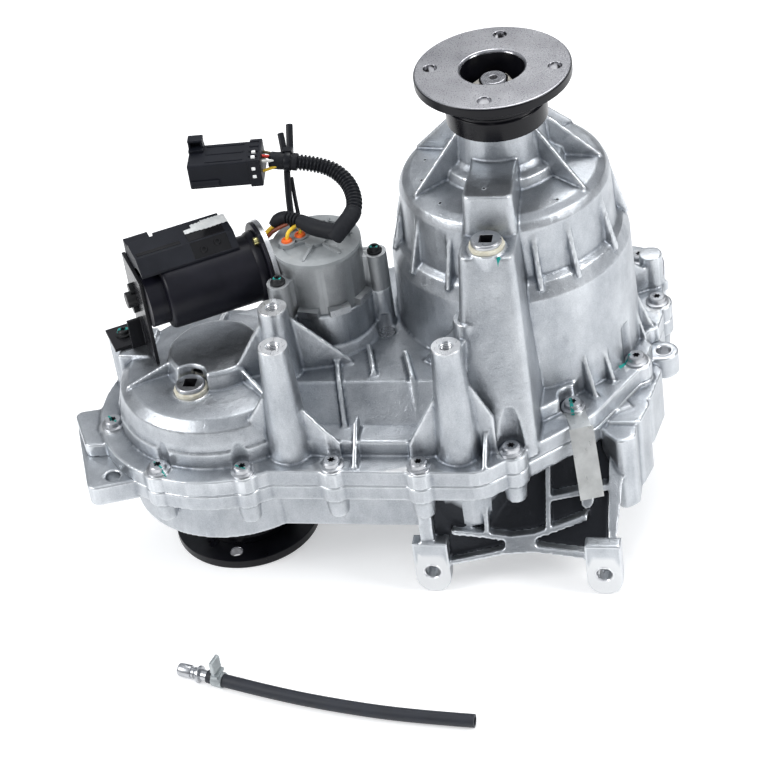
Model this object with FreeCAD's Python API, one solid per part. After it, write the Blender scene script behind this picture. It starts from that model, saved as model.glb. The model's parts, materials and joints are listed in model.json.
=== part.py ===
import FreeCAD, Part
import math
import os

# Two-speed transfer case with a chain-driven front output and an electric shift unit.
# Units are millimetres.  +Z runs along the main shaft towards the rear output flange.
# The origin is on the main shaft axis, in the plane of the front output flange face.
# +X points away from the front output and -Y is the side with the case feet.

V = FreeCAD.Vector
os.makedirs("parts", exist_ok=True)

# Driving dimensions: axes and levels

FRONT_X = -228.6           # front output axis
FRONT_Y = -91.8
CAM_X = -145.0             # shift shaft axis, under the round gear housing
CAM_Y = -45.0
RAIL_X = -98.0             # shift rail axis
RAIL_Y = -52.0
SPLIT = 112.4              # joint plane between the two case halves
REAR_FACE = 375.4          # outer face of the rear output flange
CASE_WALL = 5.0
FLANGE_THICK = 14.0        # thickness of each case half at the joint
RUN = 0.05                 # radial running clearance
SEAT = 0.3                 # clearance between curved faces that only stand beside each other

# Output flanges

FLANGE_R = 60.0
FLANGE_PLATE = 8.0
BOLT_CIRCLE_R = 47.5
FLANGE_HOLE_R = 5.1
RECESS_R = 24.0
COLLAR_R = 39.0
SHIELD_TALL = 42.4         # reach of a dust shield from the flange face
HUB_R = 22.0

# Shafts

MAIN_R = 16.0
FRONT_SHAFT_R = 15.0
THREAD_R = 11.0
NUT_R = 16.0
NUT_TALL = 10.0

# Tower and bell of the rear half, about the main axis

TOWER_TOP = 338.0
TOWER_R = 34.0
TOWER_FOOT_R = 36.5
DOME_TOP = 293.0
SHOULDER_R = 82.0
SHOULDER_Z = 287.0
LEDGE_Z = 238.0
LEDGE_R = 84.0
SKIRT_R = 94.0
SKIRT_FOOT_R = 97.0

# Round end of the rear half, about the front output axis

ROUND_R = 82.0
ROUND_TOP = 166.0
CAP_R = 35.5
CAP_TOP = 182.0
FLANGE_ROUND_R = 101.0

# Threaded bosses on the front wall of the rear half

BOSS_TOP = 228.0
BOSS_R = 11.5
BOSS_FOOT_R = 18.0
BOSS_THREAD_R = 5.1
BOSS_DEPTH = 26.0
BOSS_XY = [(-172.3, -102.9), (-162.2, -152.1), (-17.9, -117.0), (-30.0, -152.1)]

# Case bolts, as places on the joint plane

BOLT_XY = [
    (-264.0, -177.0), (-196.0, -178.0), (-127.0, -170.0), (-59.0, -171.0),
    (10.0, -151.0), (52.0, -98.0), (96.5, -38.5), (107.0, 40.0), (88.0, 100.0),
    (20.0, 126.0), (-56.0, 106.0), (-124.0, 62.0), (-192.0, 14.0), (-262.0, -8.0),
    (-311.0, -52.0), (-314.0, -122.0),
]
BOLT_R = 4.0
BOLT_HEAD_R = 9.4
BOLT_HEAD = 6.0
BOLT_SEAT_Z = SPLIT + FLANGE_THICK

# Bearing pockets, seals and shift parts

REAR_BEARING_Z = 296.0
REAR_BEARING_R = 28.0
REAR_SEAL_Z = 324.0
REAR_SEAL_R = 28.5
FRONT_BEARING_R = 26.0
FILL_Y = -SHOULDER_R - 21.0
FILL_Z = 283.5
FRONT_TOP_BEARING_Z = 162.0
CAM_SHAFT_R = 9.0
CAM_DRUM_R = 20.0
RAIL_R = 7.0
PLUG_R = 9.0
SCREW_R = 3.0
LUG_ANGLES = (8.0, 122.0, 234.0)
INPUT_R = 22.0
INPUT_BEARING_R = 38.0
INPUT_SEAL_R = 34.0
INPUT_REGISTER_R = 41.0
INPUT_REGISTER_DEEP = 6.0
INPUT_END_Z = INPUT_REGISTER_DEEP + 1.0
FRONT_SEAL_R = 28.5
SLEEVE_R = 27.0
SLEEVE_GROOVE_R = 23.0
RANGE_Z = 70.0
MODE_Z = 124.0
WORM_R = 5.5
WHEEL_R = 18.6
END_CAP_LONG = 14.0
COVER_FRONT = -8.0         # front edge of the motor cover, beside the motor axis
TAG_THICK = 0.8
TAG_LEAN = 20.0            # lean of the hanging tag from upright, in degrees
TAG_TURN = -71.0           # way the tag points from its bolt, in degrees from +X
TAG_REACH = 27.0
TAG_LONG = 58.0
DOWEL_XY = [(-290.0, -160.0), (64.0, 116.0)]
DOWEL_R = 4.5
DRAIN_X = -241.0
DRAIN_Y = -129.0
LUG_X = 114.5
LUG_Y = -6.5
SNOUT_Z = 37.4             # lower end of the front seal snout
HUB_LONG = 52.0            # reach of a flange hub from the flange face
FRONT_LOW_BEARING_Z = 53.0
PUMP_Z = 150.0
PUMP_TALL = 18.0
FLOOR = 60.0               # inner floor of the front half
PORT_XY = [(-167.0, -50.0), (-158.0, -42.0)]
MOTOR_FOOT_Z = 168.0

# Chain drive

CHAIN_Z = 88.0
CHAIN_WIDTH = 26.0
CHAIN_HALF = 52            # links in the two straight runs together
CENTRES = math.hypot(FRONT_X, FRONT_Y)
CHAIN_PITCH = 2.0 * CENTRES / CHAIN_HALF
CHAIN_TURN = math.degrees(math.atan2(FRONT_Y, FRONT_X))
SPROCKET_TEETH = 36
SPROCKET_R = CHAIN_PITCH / (2.0 * math.sin(math.pi / SPROCKET_TEETH))
LINK_THICK = 8.0

# Planetary gear set

MODULE = 1.5
SUN_TEETH = 42
PLANET_TEETH = 15
RING_TEETH = 72
GEAR_Z = 38.0
GEAR_TALL = 20.0
ORBIT_R = MODULE * (SUN_TEETH + PLANET_TEETH) / 2.0
RING_WALL = 9.0            # ring gear outside its pitch circle
RING_OUTER_R = MODULE * RING_TEETH / 2.0 + RING_WALL
PLATE_THICK = 4.0
PIN_R = 4.0

# Gear housing and motor of the shift unit

HOUSING_R = 35.0
HOUSING_Z = 203.0
HOUSING_TOP = 247.0
COVER_TOP = 252.0
COVER_R = 31.0
PEDESTAL_R = 38.0
MOTOR_R = 27.0
MOTOR_Z = 226.0
MOTOR_TURN = 30.0          # turn of the motor axis from +X, in degrees
MOTOR_LONG = 84.0
MOTOR_FLANGE_R = 35.0
MOTOR_STAND = 39.0         # from the shift shaft to the motor flange, along the motor
WORM_SIDE = WHEEL_R + WORM_R + 0.76
MOTOR_AHEAD = math.cos(math.radians(MOTOR_TURN))
MOTOR_ASIDE = math.sin(math.radians(MOTOR_TURN))
MOTOR_X = CAM_X - (MOTOR_LONG + MOTOR_STAND) * MOTOR_AHEAD - WORM_SIDE * MOTOR_ASIDE
MOTOR_Y = CAM_Y - (MOTOR_LONG + MOTOR_STAND) * MOTOR_ASIDE + WORM_SIDE * MOTOR_AHEAD
FOOT_BACK = END_CAP_LONG + 15.6
FOOT_SIDE = 44.8
MOTOR_FOOT_X = MOTOR_X - FOOT_BACK * MOTOR_AHEAD - FOOT_SIDE * MOTOR_ASIDE
MOTOR_FOOT_Y = MOTOR_Y - FOOT_BACK * MOTOR_ASIDE + FOOT_SIDE * MOTOR_AHEAD

# Feet of the front half

FOOT_FACE_Y = -174.0
FOOT_THICK = 12.0
FOOT_LEFT_X = -59.5
FOOT_RIGHT_X = 76.0
FOOT_HOLE_Z = 21.0
FOOT_HOLE_R = 6.2
FOOT_R = 17.0
PAD_X = 10.0               # middle pad of the panel, where its braces meet
PAD_Z = 42.0
RIB_Z = 67.0               # level rib of the panel


# Shape helpers

def cyl(x, y, z, r, height):
    """Upright cylinder on the point x, y, z."""
    return Part.makeCylinder(r, height, V(x, y, z))


def cone(x, y, z, r_low, r_high, height):
    """Upright cone between two radii."""
    return Part.makeCone(r_low, r_high, height, V(x, y, z))


def ring(x, y, z, r_in, r_out, height):
    """Upright ring."""
    return cyl(x, y, z, r_out, height).cut(cyl(x, y, z - 1.0, r_in, height + 2.0))


def block(x0, x1, y0, y1, z0, z1):
    """Box between two corners."""
    return Part.makeBox(x1 - x0, y1 - y0, z1 - z0, V(x0, y0, z0))


def turned(points, x=0.0, y=0.0):
    """Solid of revolution from radius and height points, about an upright axis."""
    wire = Part.makePolygon([V(r, 0, z) for r, z in points + points[:1]])
    solid = Part.Face(wire).revolve(V(0, 0, 0), V(0, 0, 1), 360)
    solid.translate(V(x, y, 0))
    return solid


def rounded_wire(corners, z=0.0):
    """Closed wire in a level plane.  Every corner is x, y and a fillet radius."""
    count = len(corners)
    starts = []
    ends = []
    edges = []
    for i, (x, y, r) in enumerate(corners):
        here = V(x, y, z)
        back = V(corners[i - 1][0], corners[i - 1][1], z) - here
        ahead = V(corners[(i + 1) % count][0], corners[(i + 1) % count][1], z) - here
        half = back.getAngle(ahead) / 2.0
        reach = r / math.tan(half)
        into = here + back.normalize() * reach
        out = here + ahead.normalize() * reach
        bisector = (back + ahead).normalize()
        middle = here + bisector * (r / math.sin(half) - r)
        starts.append(into)
        ends.append(out)
        edges.append(Part.Arc(into, middle, out).toShape())
    for i in range(count):
        edges.append(Part.makeLine(ends[i], starts[(i + 1) % count]))
    return Part.Wire(Part.__sortEdges__(edges))


def plate(corners, z0, z1):
    """Upright prism on a rounded outline."""
    return Part.Face(rounded_wire(corners, z0)).extrude(V(0, 0, z1 - z0))


def tapered(low, high, z0, z1):
    """Loft between two rounded outlines with the same number of corners."""
    return Part.makeLoft([rounded_wire(low, z0), rounded_wire(high, z1)], True, True)


def fin(start, end, profile, thick):
    """Upright web from one ground point to another, with distance and height points."""
    direction = V(end[0] - start[0], end[1] - start[1], 0)
    direction.normalize()
    side = V(-direction.y, direction.x, 0) * thick
    base = V(start[0], start[1], 0) - side * 0.5
    points = [base + direction * d + V(0, 0, z) for d, z in profile]
    return Part.Face(Part.makePolygon(points + points[:1])).extrude(side)


def spoke_fin(angle, profile, thick, x=0.0, y=0.0):
    """Radial web with radius and height points, about an upright axis."""
    way = V(math.cos(math.radians(angle)), math.sin(math.radians(angle)), 0)
    return fin((x, y), (x + way.x, y + way.y), profile, thick)


def toothed(x, y, z, teeth, r_root, r_tip, height, phase=0.0, tip_share=0.22, root_share=0.52):
    """Toothed disc with straight-sided teeth; the shares are parts of the tooth pitch."""
    step = 2.0 * math.pi / teeth
    points = []
    for k in range(teeth):
        middle = math.radians(phase) + k * step
        for r, part in ((r_root, -root_share), (r_tip, -tip_share), (r_tip, tip_share), (r_root, root_share)):
            angle = middle + part * step / 2.0
            points.append(V(x + r * math.cos(angle), y + r * math.sin(angle), z))
    return Part.Face(Part.makePolygon(points + points[:1])).extrude(V(0, 0, height))


def fuse(shapes):
    """One solid from overlapping solids, with split faces joined."""
    solid = shapes[0]
    for shape in shapes[1:]:
        solid = solid.fuse(shape)
    return solid.removeSplitter()


def save(name, shapes):
    """Write one node; a list is kept as a group of separate solids."""
    shape = shapes
    if isinstance(shapes, list):
        shape = Part.makeCompound(shapes)
    shape.exportStep("parts/" + name + ".step")


def ball_bearing(x, y, z, r_in, r_out, tall, balls):
    """Inner ring, outer ring and balls."""
    pitch = (r_in + r_out) / 2.0
    ball_r = (r_out - r_in) * 0.27
    land = ball_r * 0.62
    groove = Part.makeTorus(pitch, ball_r + RUN, V(x, y, z + tall / 2.0))
    inner = ring(x, y, z, r_in, pitch - land, tall).cut(groove)
    outer = ring(x, y, z, pitch + land, r_out, tall).cut(groove)
    solids = [inner, outer]
    for k in range(balls):
        angle = 2.0 * math.pi * k / balls
        centre = V(x + pitch * math.cos(angle), y + pitch * math.sin(angle), z + tall / 2.0)
        solids.append(Part.makeSphere(ball_r, centre))
    return solids


def lip_seal(x, y, z, r_in, r_out, tall):
    """Pressed metal shell with a rubber lip turned inwards."""
    return turned([
        (r_out, z), (r_out, z + tall), (r_in + 3.0, z + tall), (r_in + 3.0, z + tall - 2.0),
        (r_out - 2.5, z + tall - 2.0), (r_out - 2.5, z + 2.5), (r_in + 4.0, z + 2.5),
        (r_in, z + 4.0), (r_in, z + 2.0), (r_in + 3.0, z),
    ], x, y)


# Case joint outline

def joint_outline(z0, z1):
    """Outer edge of the case at the joint plane, between two heights."""
    body = plate([
        (-250.0, -178.0, 6.0), (-10.0, -178.0, 30.0), (70.0, -106.0, 30.0), (103.0, -44.0, 16.0),
        (113.0, 22.0, 20.0), (108.0, 112.0, 24.0), (20.0, 138.0, 30.0), (-56.0, 120.0, 30.0),
        (-200.0, 26.0, 30.0), (-250.0, 0.0, 6.0),
    ], z0, z1)
    solids = [body, cyl(FRONT_X, FRONT_Y, z0, FLANGE_ROUND_R, z1 - z0)]
    for x, y in BOLT_XY:
        solids.append(cyl(x, y, z0, 12.0, z1 - z0))
    return fuse(solids)


def wall_outline(z0, z1, grow=0.0):
    """Outer face of the case wall inside the joint flange, between two heights."""
    body = plate([
        (-240.0, -158.0 - grow, 20.0), (-20.0, -158.0 - grow, 30.0), (44.0 + grow, -104.0, 30.0),
        (76.0 + grow, -30.0, 30.0), (84.0 + grow, 40.0, 20.0), (70.0 + grow, 84.0 + grow, 24.0),
        (16.0, 108.0 + grow, 30.0), (-40.0, 92.0 + grow, 30.0), (-180.0, 4.0 + grow, 30.0),
        (-250.0, -20.0 + grow, 15.0),
    ], z0, z1)
    return fuse([body, cyl(FRONT_X, FRONT_Y, z0, ROUND_R + 2.0 + grow, z1 - z0)])


def chain_space(z0, z1):
    """Room for the chain loop, inside the case wall."""
    return wall_outline(z0, z1, -CASE_WALL)


# Rear half of the case

def bell_room(z):
    """Inner radius of the bell at a height."""
    low = SKIRT_FOOT_R - CASE_WALL - 3.0
    high = LEDGE_R - CASE_WALL - 2.0
    return low + (high - low) * (z - SPLIT + 1.0) / (LEDGE_Z - 6.0 - SPLIT + 1.0)


def bell():
    """Bell and tower about the main axis, with radial gussets and draft ribs."""
    shell = turned([
        (0.0, SPLIT), (SKIRT_FOOT_R, SPLIT), (SKIRT_R, LEDGE_Z - 16.0), (SKIRT_R - 5.0, LEDGE_Z - 4.0),
        (LEDGE_R, LEDGE_Z), (SHOULDER_R, SHOULDER_Z - 8.0), (SHOULDER_R - 3.0, SHOULDER_Z - 2.0),
        (SHOULDER_R - 9.0, SHOULDER_Z + 2.0), (48.0, DOME_TOP), (46.0, DOME_TOP + 8.0),
        (40.0, DOME_TOP + 11.0), (TOWER_FOOT_R, DOME_TOP + 15.0), (TOWER_R, TOWER_TOP), (0.0, TOWER_TOP),
    ])
    solids = [shell]
    for angle in (-28.0, 8.0, 52.0, 88.0, 124.0, 160.0, 214.0):
        solids.append(spoke_fin(angle, [
            (30.0, DOME_TOP - 8.0), (76.0, DOME_TOP - 8.0), (76.0, DOME_TOP - 3.0),
            (TOWER_R + 1.0, TOWER_TOP - 6.0), (30.0, TOWER_TOP - 6.0),
        ], 3.6))
    for angle in (-68.0, -48.0, -20.0, 12.0, 40.0, 66.0, 92.0, 118.0, 146.0, 172.0, 198.0, 222.0, 246.0):
        solids.append(spoke_fin(angle, [
            (70.0, LEDGE_Z - 8.0), (SKIRT_R, LEDGE_Z - 8.0), (SKIRT_R - 1.0, LEDGE_Z - 4.0),
            (SHOULDER_R, SHOULDER_Z - 10.0), (70.0, SHOULDER_Z - 10.0),
        ], 4.0))
    return solids


def front_column():
    """Square oil channel that climbs the front of the bell, with the filler boss."""
    lower = tapered(
        [(-30.0, -150.0, 8.0), (30.0, -150.0, 8.0), (30.0, -40.0, 4.0), (-30.0, -40.0, 4.0)],
        [(-21.0, FILL_Y - 13.0, 8.0), (21.0, FILL_Y - 13.0, 8.0), (21.0, -40.0, 4.0), (-21.0, -40.0, 4.0)],
        SPLIT + 6.0, FILL_Z - 2.5)
    upper = tapered(
        [(-21.0, -88.0, 6.0), (21.0, -88.0, 6.0), (21.0, -20.0, 4.0), (-21.0, -20.0, 4.0)],
        [(-19.0, -84.0, 6.0), (19.0, -84.0, 6.0), (17.0, -20.0, 4.0), (-17.0, -20.0, 4.0)],
        270.0, 314.0)
    filler = cyl(0.0, FILL_Y, FILL_Z - 24.0, 15.0, 24.0)
    return [lower, upper, filler]


def round_end():
    """Domed end about the front output axis, with the flat bearing cap."""
    dome = turned([
        (0.0, SPLIT), (ROUND_R + 4.0, SPLIT), (ROUND_R, ROUND_TOP - 20.0), (ROUND_R - 3.0, ROUND_TOP - 8.0),
        (ROUND_R - 11.0, ROUND_TOP - 1.0), (56.0, ROUND_TOP + 1.0), (CAP_R + 4.0, ROUND_TOP + 1.8),
        (CAP_R + 1.0, CAP_TOP - 2.0), (CAP_R - 1.0, CAP_TOP), (0.0, CAP_TOP),
    ], FRONT_X, FRONT_Y)
    drain_boss = cyl(DRAIN_X, DRAIN_Y, SPLIT, 15.0, ROUND_TOP + 2.0 - SPLIT)
    ribs = []
    for angle in (24.0, 96.0, 205.0, 318.0):
        ribs.append(spoke_fin(angle, [
            (20.0, ROUND_TOP - 10.0), (ROUND_R - 8.0, ROUND_TOP - 10.0), (ROUND_R - 8.0, ROUND_TOP),
            (CAP_R - 1.0, CAP_TOP - 2.0), (20.0, CAP_TOP - 2.0),
        ], 3.4, FRONT_X, FRONT_Y))
    return [dome, drain_boss] + ribs


def plateau():
    """Sloped roof between the two shafts, the gear housing pedestal and its flare."""
    roof = tapered(
        [(-250.0, -160.0, 14.0), (-20.0, -160.0, 20.0), (40.0, -108.0, 20.0), (40.0, 70.0, 20.0),
         (-40.0, 92.0, 20.0), (-250.0, -20.0, 14.0)],
        [(-240.0, -118.0, 10.0), (-40.0, -116.0, 14.0), (20.0, -80.0, 14.0), (20.0, 50.0, 14.0),
         (-44.0, 70.0, 14.0), (-240.0, -34.0, 10.0)],
        SPLIT, 166.0)
    flare = cone(CAM_X, CAM_Y, 150.0, 52.0, PEDESTAL_R + 2.0, 24.0)
    pedestal = cyl(CAM_X, CAM_Y, 160.0, PEDESTAL_R, HOUSING_Z - 160.0)
    return [roof, flare, pedestal]


def threaded_columns():
    """Four drilled columns for the crossmember bracket, tied by webs."""
    solids = []
    for x, y in BOSS_XY:
        solids.append(cone(x, y, SPLIT + 8.0, BOSS_FOOT_R, BOSS_R, BOSS_TOP - SPLIT - 8.0))
    b1, b2, b3, b4 = BOSS_XY
    tall = BOSS_TOP - 6.0
    solids.append(fin(b1, b2, [(0.0, 130.0), (50.0, 130.0), (50.0, 196.0), (25.0, 204.0), (0.0, 214.0)], 5.0))
    solids.append(fin(b3, b4, [(0.0, 130.0), (36.0, 130.0), (36.0, tall - 6.0), (0.0, tall - 6.0)], 6.0))
    solids.append(fin(b1, (-215.0, -118.0), [(0.0, 130.0), (44.0, 130.0), (44.0, 168.0), (8.0, tall)], 3.6))
    solids.append(fin(b1, (-120.0, -92.0), [(0.0, 130.0), (54.0, 130.0), (54.0, 170.0), (8.0, tall)], 3.6))
    solids.append(fin(b2, (-205.0, -160.0), [(0.0, 126.0), (42.0, 126.0), (42.0, 140.0), (10.0, 190.0)], 4.0))
    solids.append(fin(b2, (-120.0, -160.0), [(0.0, 126.0), (42.0, 126.0), (42.0, 140.0), (10.0, 176.0)], 4.0))
    solids.append(fin(b4, (-66.0, -160.0), [(0.0, 126.0), (38.0, 126.0), (38.0, 140.0), (10.0, 190.0)], 4.0))
    solids.append(fin(b4, (10.0, -150.0), [(0.0, 126.0), (40.0, 126.0), (40.0, 138.0), (10.0, 200.0)], 4.0))
    solids.append(fin(b3, (-62.0, -88.0), [(0.0, 140.0), (52.0, 140.0), (52.0, 168.0), (8.0, tall)], 3.6))
    return solids


def roof_ribs():
    """Stiffening ribs over the roof and along the joint flange."""
    solids = []
    for a, b in (((-132.0, -88.0), (-118.0, -150.0)), ((-108.0, -76.0), (-88.0, -150.0)),
                 ((-78.0, -84.0), (-56.0, -150.0))):
        solids.append(fin(a, b, [(0.0, 130.0), (62.0, 124.0), (62.0, 132.0), (32.0, 170.0), (0.0, 173.0)], 4.0))
    for x in (-235.0, -216.0, -109.0, -8.0):
        solids.append(fin((x, -140.0), (x, -176.0), [(0.0, 120.0), (34.0, 120.0), (34.0, 128.0), (8.0, 152.0),
                                                   (0.0, 152.0)], 3.4))
    for x, y in ((68.0, -84.0), (80.0, -64.0), (100.0, -8.0), (104.0, 8.0), (112.0, 66.0)):
        reach = math.hypot(x, y)
        solids.append(spoke_fin(math.degrees(math.atan2(y, x)), [
            (70.0, 120.0), (reach + 2.0, 120.0), (reach + 2.0, 128.0), (92.0, 168.0), (70.0, 168.0),
        ], 3.6))
    return solids


def rear_case():
    """Rear half: cast shell, machined bores, bolt holes and threaded holes."""
    outside = [joint_outline(SPLIT, BOLT_SEAT_Z), wall_outline(SPLIT, 140.0)]
    outside += bell() + front_column() + round_end() + plateau() + threaded_columns() + roof_ribs()
    outside.append(cyl(MOTOR_FOOT_X, MOTOR_FOOT_Y, SPLIT, 13.0, MOTOR_FOOT_Z - SPLIT))
    outside.append(block(MOTOR_FOOT_X, MOTOR_FOOT_X + 26.0, MOTOR_FOOT_Y - 25.0, MOTOR_FOOT_Y + 12.0, SPLIT, MOTOR_FOOT_Z))
    outside.append(plate([(-352.0, -104.0, 6.0), (-332.0, -146.0, 6.0), (-280.0, -140.0, 6.0),
                          (-296.0, -90.0, 6.0)], SPLIT, BOLT_SEAT_Z - 2.0))
    outside.append(cyl(101.0, 66.0, SPLIT, 9.5, 44.0))
    for angle in LUG_ANGLES:
        x, y = housing_lug(angle)
        outside.append(cyl(x, y, 150.0, 9.0, HOUSING_Z - 150.0))
    solid = fuse(outside)
    hollow = [
        turned([
            (0.0, SPLIT - 1.0), (SKIRT_FOOT_R - CASE_WALL - 3.0, SPLIT - 1.0),
            (LEDGE_R - CASE_WALL - 2.0, LEDGE_Z - 6.0), (SHOULDER_R - CASE_WALL - 2.0, SHOULDER_Z - 10.0),
            (66.0, SHOULDER_Z - 6.0), (40.0, REAR_BEARING_Z - 8.0), (26.0, REAR_BEARING_Z - 8.0),
            (26.0, REAR_BEARING_Z), (REAR_BEARING_R, REAR_BEARING_Z), (REAR_BEARING_R, REAR_SEAL_Z - 3.0),
            (REAR_SEAL_R, REAR_SEAL_Z - 3.0), (REAR_SEAL_R, TOWER_TOP + 1.0), (0.0, TOWER_TOP + 1.0),
        ]),
        chain_space(SPLIT - 1.0, 128.0),
        tapered(
            [(-240.0, -150.0, 10.0), (-28.0, -150.0, 16.0), (30.0, -100.0, 16.0), (30.0, 56.0, 16.0),
             (-44.0, 78.0, 16.0), (-240.0, -30.0, 10.0)],
            [(-232.0, -112.0, 8.0), (-48.0, -110.0, 10.0), (10.0, -72.0, 10.0), (10.0, 40.0, 10.0),
             (-46.0, 60.0, 10.0), (-232.0, -40.0, 8.0)], 120.0, 160.0),
        turned([
            (0.0, SPLIT - 1.0), (ROUND_R - 3.0, SPLIT - 1.0), (ROUND_R - CASE_WALL - 2.0, ROUND_TOP - 16.0),
            (ROUND_R - 16.0, ROUND_TOP - 6.0), (FRONT_BEARING_R + 4.0, ROUND_TOP - 6.0),
            (FRONT_BEARING_R + 4.0, FRONT_TOP_BEARING_Z), (FRONT_BEARING_R, FRONT_TOP_BEARING_Z),
            (FRONT_BEARING_R, FRONT_TOP_BEARING_Z + 15.0), (0.0, FRONT_TOP_BEARING_Z + 15.0),
        ], FRONT_X, FRONT_Y),
        cyl(CAM_X, CAM_Y, SPLIT, CAM_SHAFT_R + RUN, 120.0),
        cyl(CAM_X, CAM_Y, SPLIT, CAM_DRUM_R + 3.0, 176.0 - SPLIT),
        cyl(RAIL_X, RAIL_Y, SPLIT, RAIL_R, 180.0 - SPLIT),
        cyl(DRAIN_X, DRAIN_Y, 130.0, PLUG_R, 60.0),
        cyl(DRAIN_X, DRAIN_Y, ROUND_TOP + 2.0, 14.0, 20.0),
        cyl(0.0, FILL_Y, FILL_Z - 40.0, PLUG_R, 60.0),
        cyl(0.0, FILL_Y, FILL_Z, 13.0, 12.0),
        cyl(LUG_X, LUG_Y, SPLIT - 1.0, 12.5, 60.0),
    ]
    for x, y in DOWEL_XY:
        hollow.append(cyl(x, y, SPLIT - 1.0, DOWEL_R, 9.0))
    for x, y in BOSS_XY:
        hollow.append(cyl(x, y, BOSS_TOP - BOSS_DEPTH, BOSS_THREAD_R, BOSS_DEPTH + 1.0))
    for x, y in BOLT_XY:
        hollow.append(cyl(x, y, SPLIT - 1.0, BOLT_R, 40.0))
        hollow.append(cyl(x, y, BOLT_SEAT_Z, BOLT_HEAD_R + 1.2, 34.0))
    for angle in LUG_ANGLES:
        x, y = housing_lug(angle)
        hollow.append(cyl(x, y, HOUSING_Z - 18.0, SCREW_R, 19.0))
    hollow.append(cyl(MOTOR_FOOT_X, MOTOR_FOOT_Y, MOTOR_FOOT_Z - 18.0, SCREW_R, 19.0))
    return solid.cut(Part.makeCompound(hollow)).removeSplitter()


def housing_lug(angle):
    """Centre of one fixing lug of the gear housing."""
    reach = HOUSING_R + 9.0
    return (CAM_X + reach * math.cos(math.radians(angle)), CAM_Y + reach * math.sin(math.radians(angle)))



# Front half of the case

def round_snout():
    """Round end about the front output axis, down to the seal snout."""
    return turned([
        (0.0, SNOUT_Z), (33.0, SNOUT_Z), (36.0, 50.0), (44.0, 53.0), (66.0, 55.0), (ROUND_R - 8.0, 60.0),
        (ROUND_R - 1.0, 68.0), (ROUND_R + 3.0, SPLIT), (0.0, SPLIT),
    ], FRONT_X, FRONT_Y)


def gear_barrel():
    """Round wall about the planetary gears, with the gearbox flange at its foot."""
    barrel = turned([
        (0.0, 0.0), (88.0, 0.0), (88.0, 10.0), (78.0, 14.0), (80.0, 60.0), (84.0, SPLIT), (0.0, SPLIT),
    ])
    solids = [barrel]
    for k in range(8):
        angle = math.radians(22.5 + 45.0 * k)
        solids.append(cyl(80.0 * math.cos(angle), 80.0 * math.sin(angle), 0.0, 13.0, 20.0))
    return solids


def panel(outer, z0, z1):
    """Slanted panel that joins the case wall to the two feet, as one twisted loft."""
    low = [(-66.0, -166.0 - outer, 1.0), (82.0, -166.0 - outer, 1.0), (82.0, -160.0, 1.0), (-66.0, -160.0, 1.0)]
    high = [(-66.0, -160.0 - outer, 1.0), (86.0 + outer, -66.0 - outer, 1.0), (80.0, -56.0, 1.0),
            (-66.0, -150.0, 1.0)]
    return Part.makeLoft([sharp_wire(low, z0), sharp_wire(high, z1)], True, True)


def sharp_wire(corners, z):
    """Closed wire with sharp corners in a level plane."""
    points = [V(x, y, z) for x, y, r in corners]
    return Part.makePolygon(points + points[:1])


def mount_panel():
    """Ribbed panel with its two feet; the ribs are the part of a thicker loft left between pockets."""
    thin = panel(1.0, 16.0, SPLIT - 2.0)
    thick = panel(9.0, 16.0, SPLIT - 2.0)
    low = FOOT_HOLE_Z + 5.0
    bars = [
        block(-70.0, -56.0, -190.0, -40.0, 0.0, SPLIT),
        block(78.0, 100.0, -190.0, -40.0, 0.0, SPLIT),
        block(-70.0, 100.0, -190.0, -40.0, SPLIT - 16.0, SPLIT - 9.0),
        block(31.0, 100.0, -190.0, -40.0, RIB_Z - 1.8, RIB_Z + 1.8),
        block(PAD_X - 12.0, PAD_X + 12.0, -190.0, -40.0, PAD_Z - 9.0, PAD_Z + 4.0),
        block(-17.0, -13.4, -190.0, -40.0, PAD_Z + 5.0, SPLIT),
        block(30.0, 33.6, -190.0, -40.0, PAD_Z + 4.0, SPLIT),
        slanted_slab(PAD_X, PAD_Z, -42.0, PAD_Z + 13.0, 4.0),
        slanted_slab(PAD_X, PAD_Z, 62.0, PAD_Z + 10.0, 4.0),
        slanted_slab(PAD_X - 12.0, PAD_Z - 7.0, -62.0, low, 4.0),
        slanted_slab(PAD_X + 12.0, PAD_Z - 7.0, 84.0, low, 4.0),
    ]
    ribs = [thick.common(bar) for bar in bars]
    ribs.append(thick.common(Part.makeCylinder(5.0, 160.0, V(62.0, -190.0, PAD_Z + 20.0), V(0, 1, 0))))
    feet = [foot(x) for x in (FOOT_LEFT_X, FOOT_RIGHT_X)]
    return [thin] + ribs + feet


def slanted_slab(x0, z0, x1, z1, tall):
    """Slab of a given height that runs from one panel point to another, straight through in Y."""
    points = [V(x0, -190.0, z0 - tall / 2.0), V(x1, -190.0, z1 - tall / 2.0), V(x1, -190.0, z1 + tall / 2.0),
              V(x0, -190.0, z0 + tall / 2.0)]
    return Part.Face(Part.makePolygon(points + points[:1])).extrude(V(0, 150, 0))


def under_panel():
    """Open space below the panel between the feet, lowest at the feet and highest under the pad."""
    left = FOOT_LEFT_X + FOOT_R - 3.0
    right = FOOT_RIGHT_X - FOOT_R + 3.0
    points = [V(left, -190.0, -5.0), V(right, -190.0, -5.0), V(right, -190.0, FOOT_HOLE_Z + 3.0),
              V(PAD_X + 12.0, -190.0, PAD_Z - 9.0), V(PAD_X - 12.0, -190.0, PAD_Z - 9.0),
              V(left, -190.0, FOOT_HOLE_Z + 3.0)]
    return Part.Face(Part.makePolygon(points + points[:1])).extrude(V(0, 60, 0))


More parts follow.
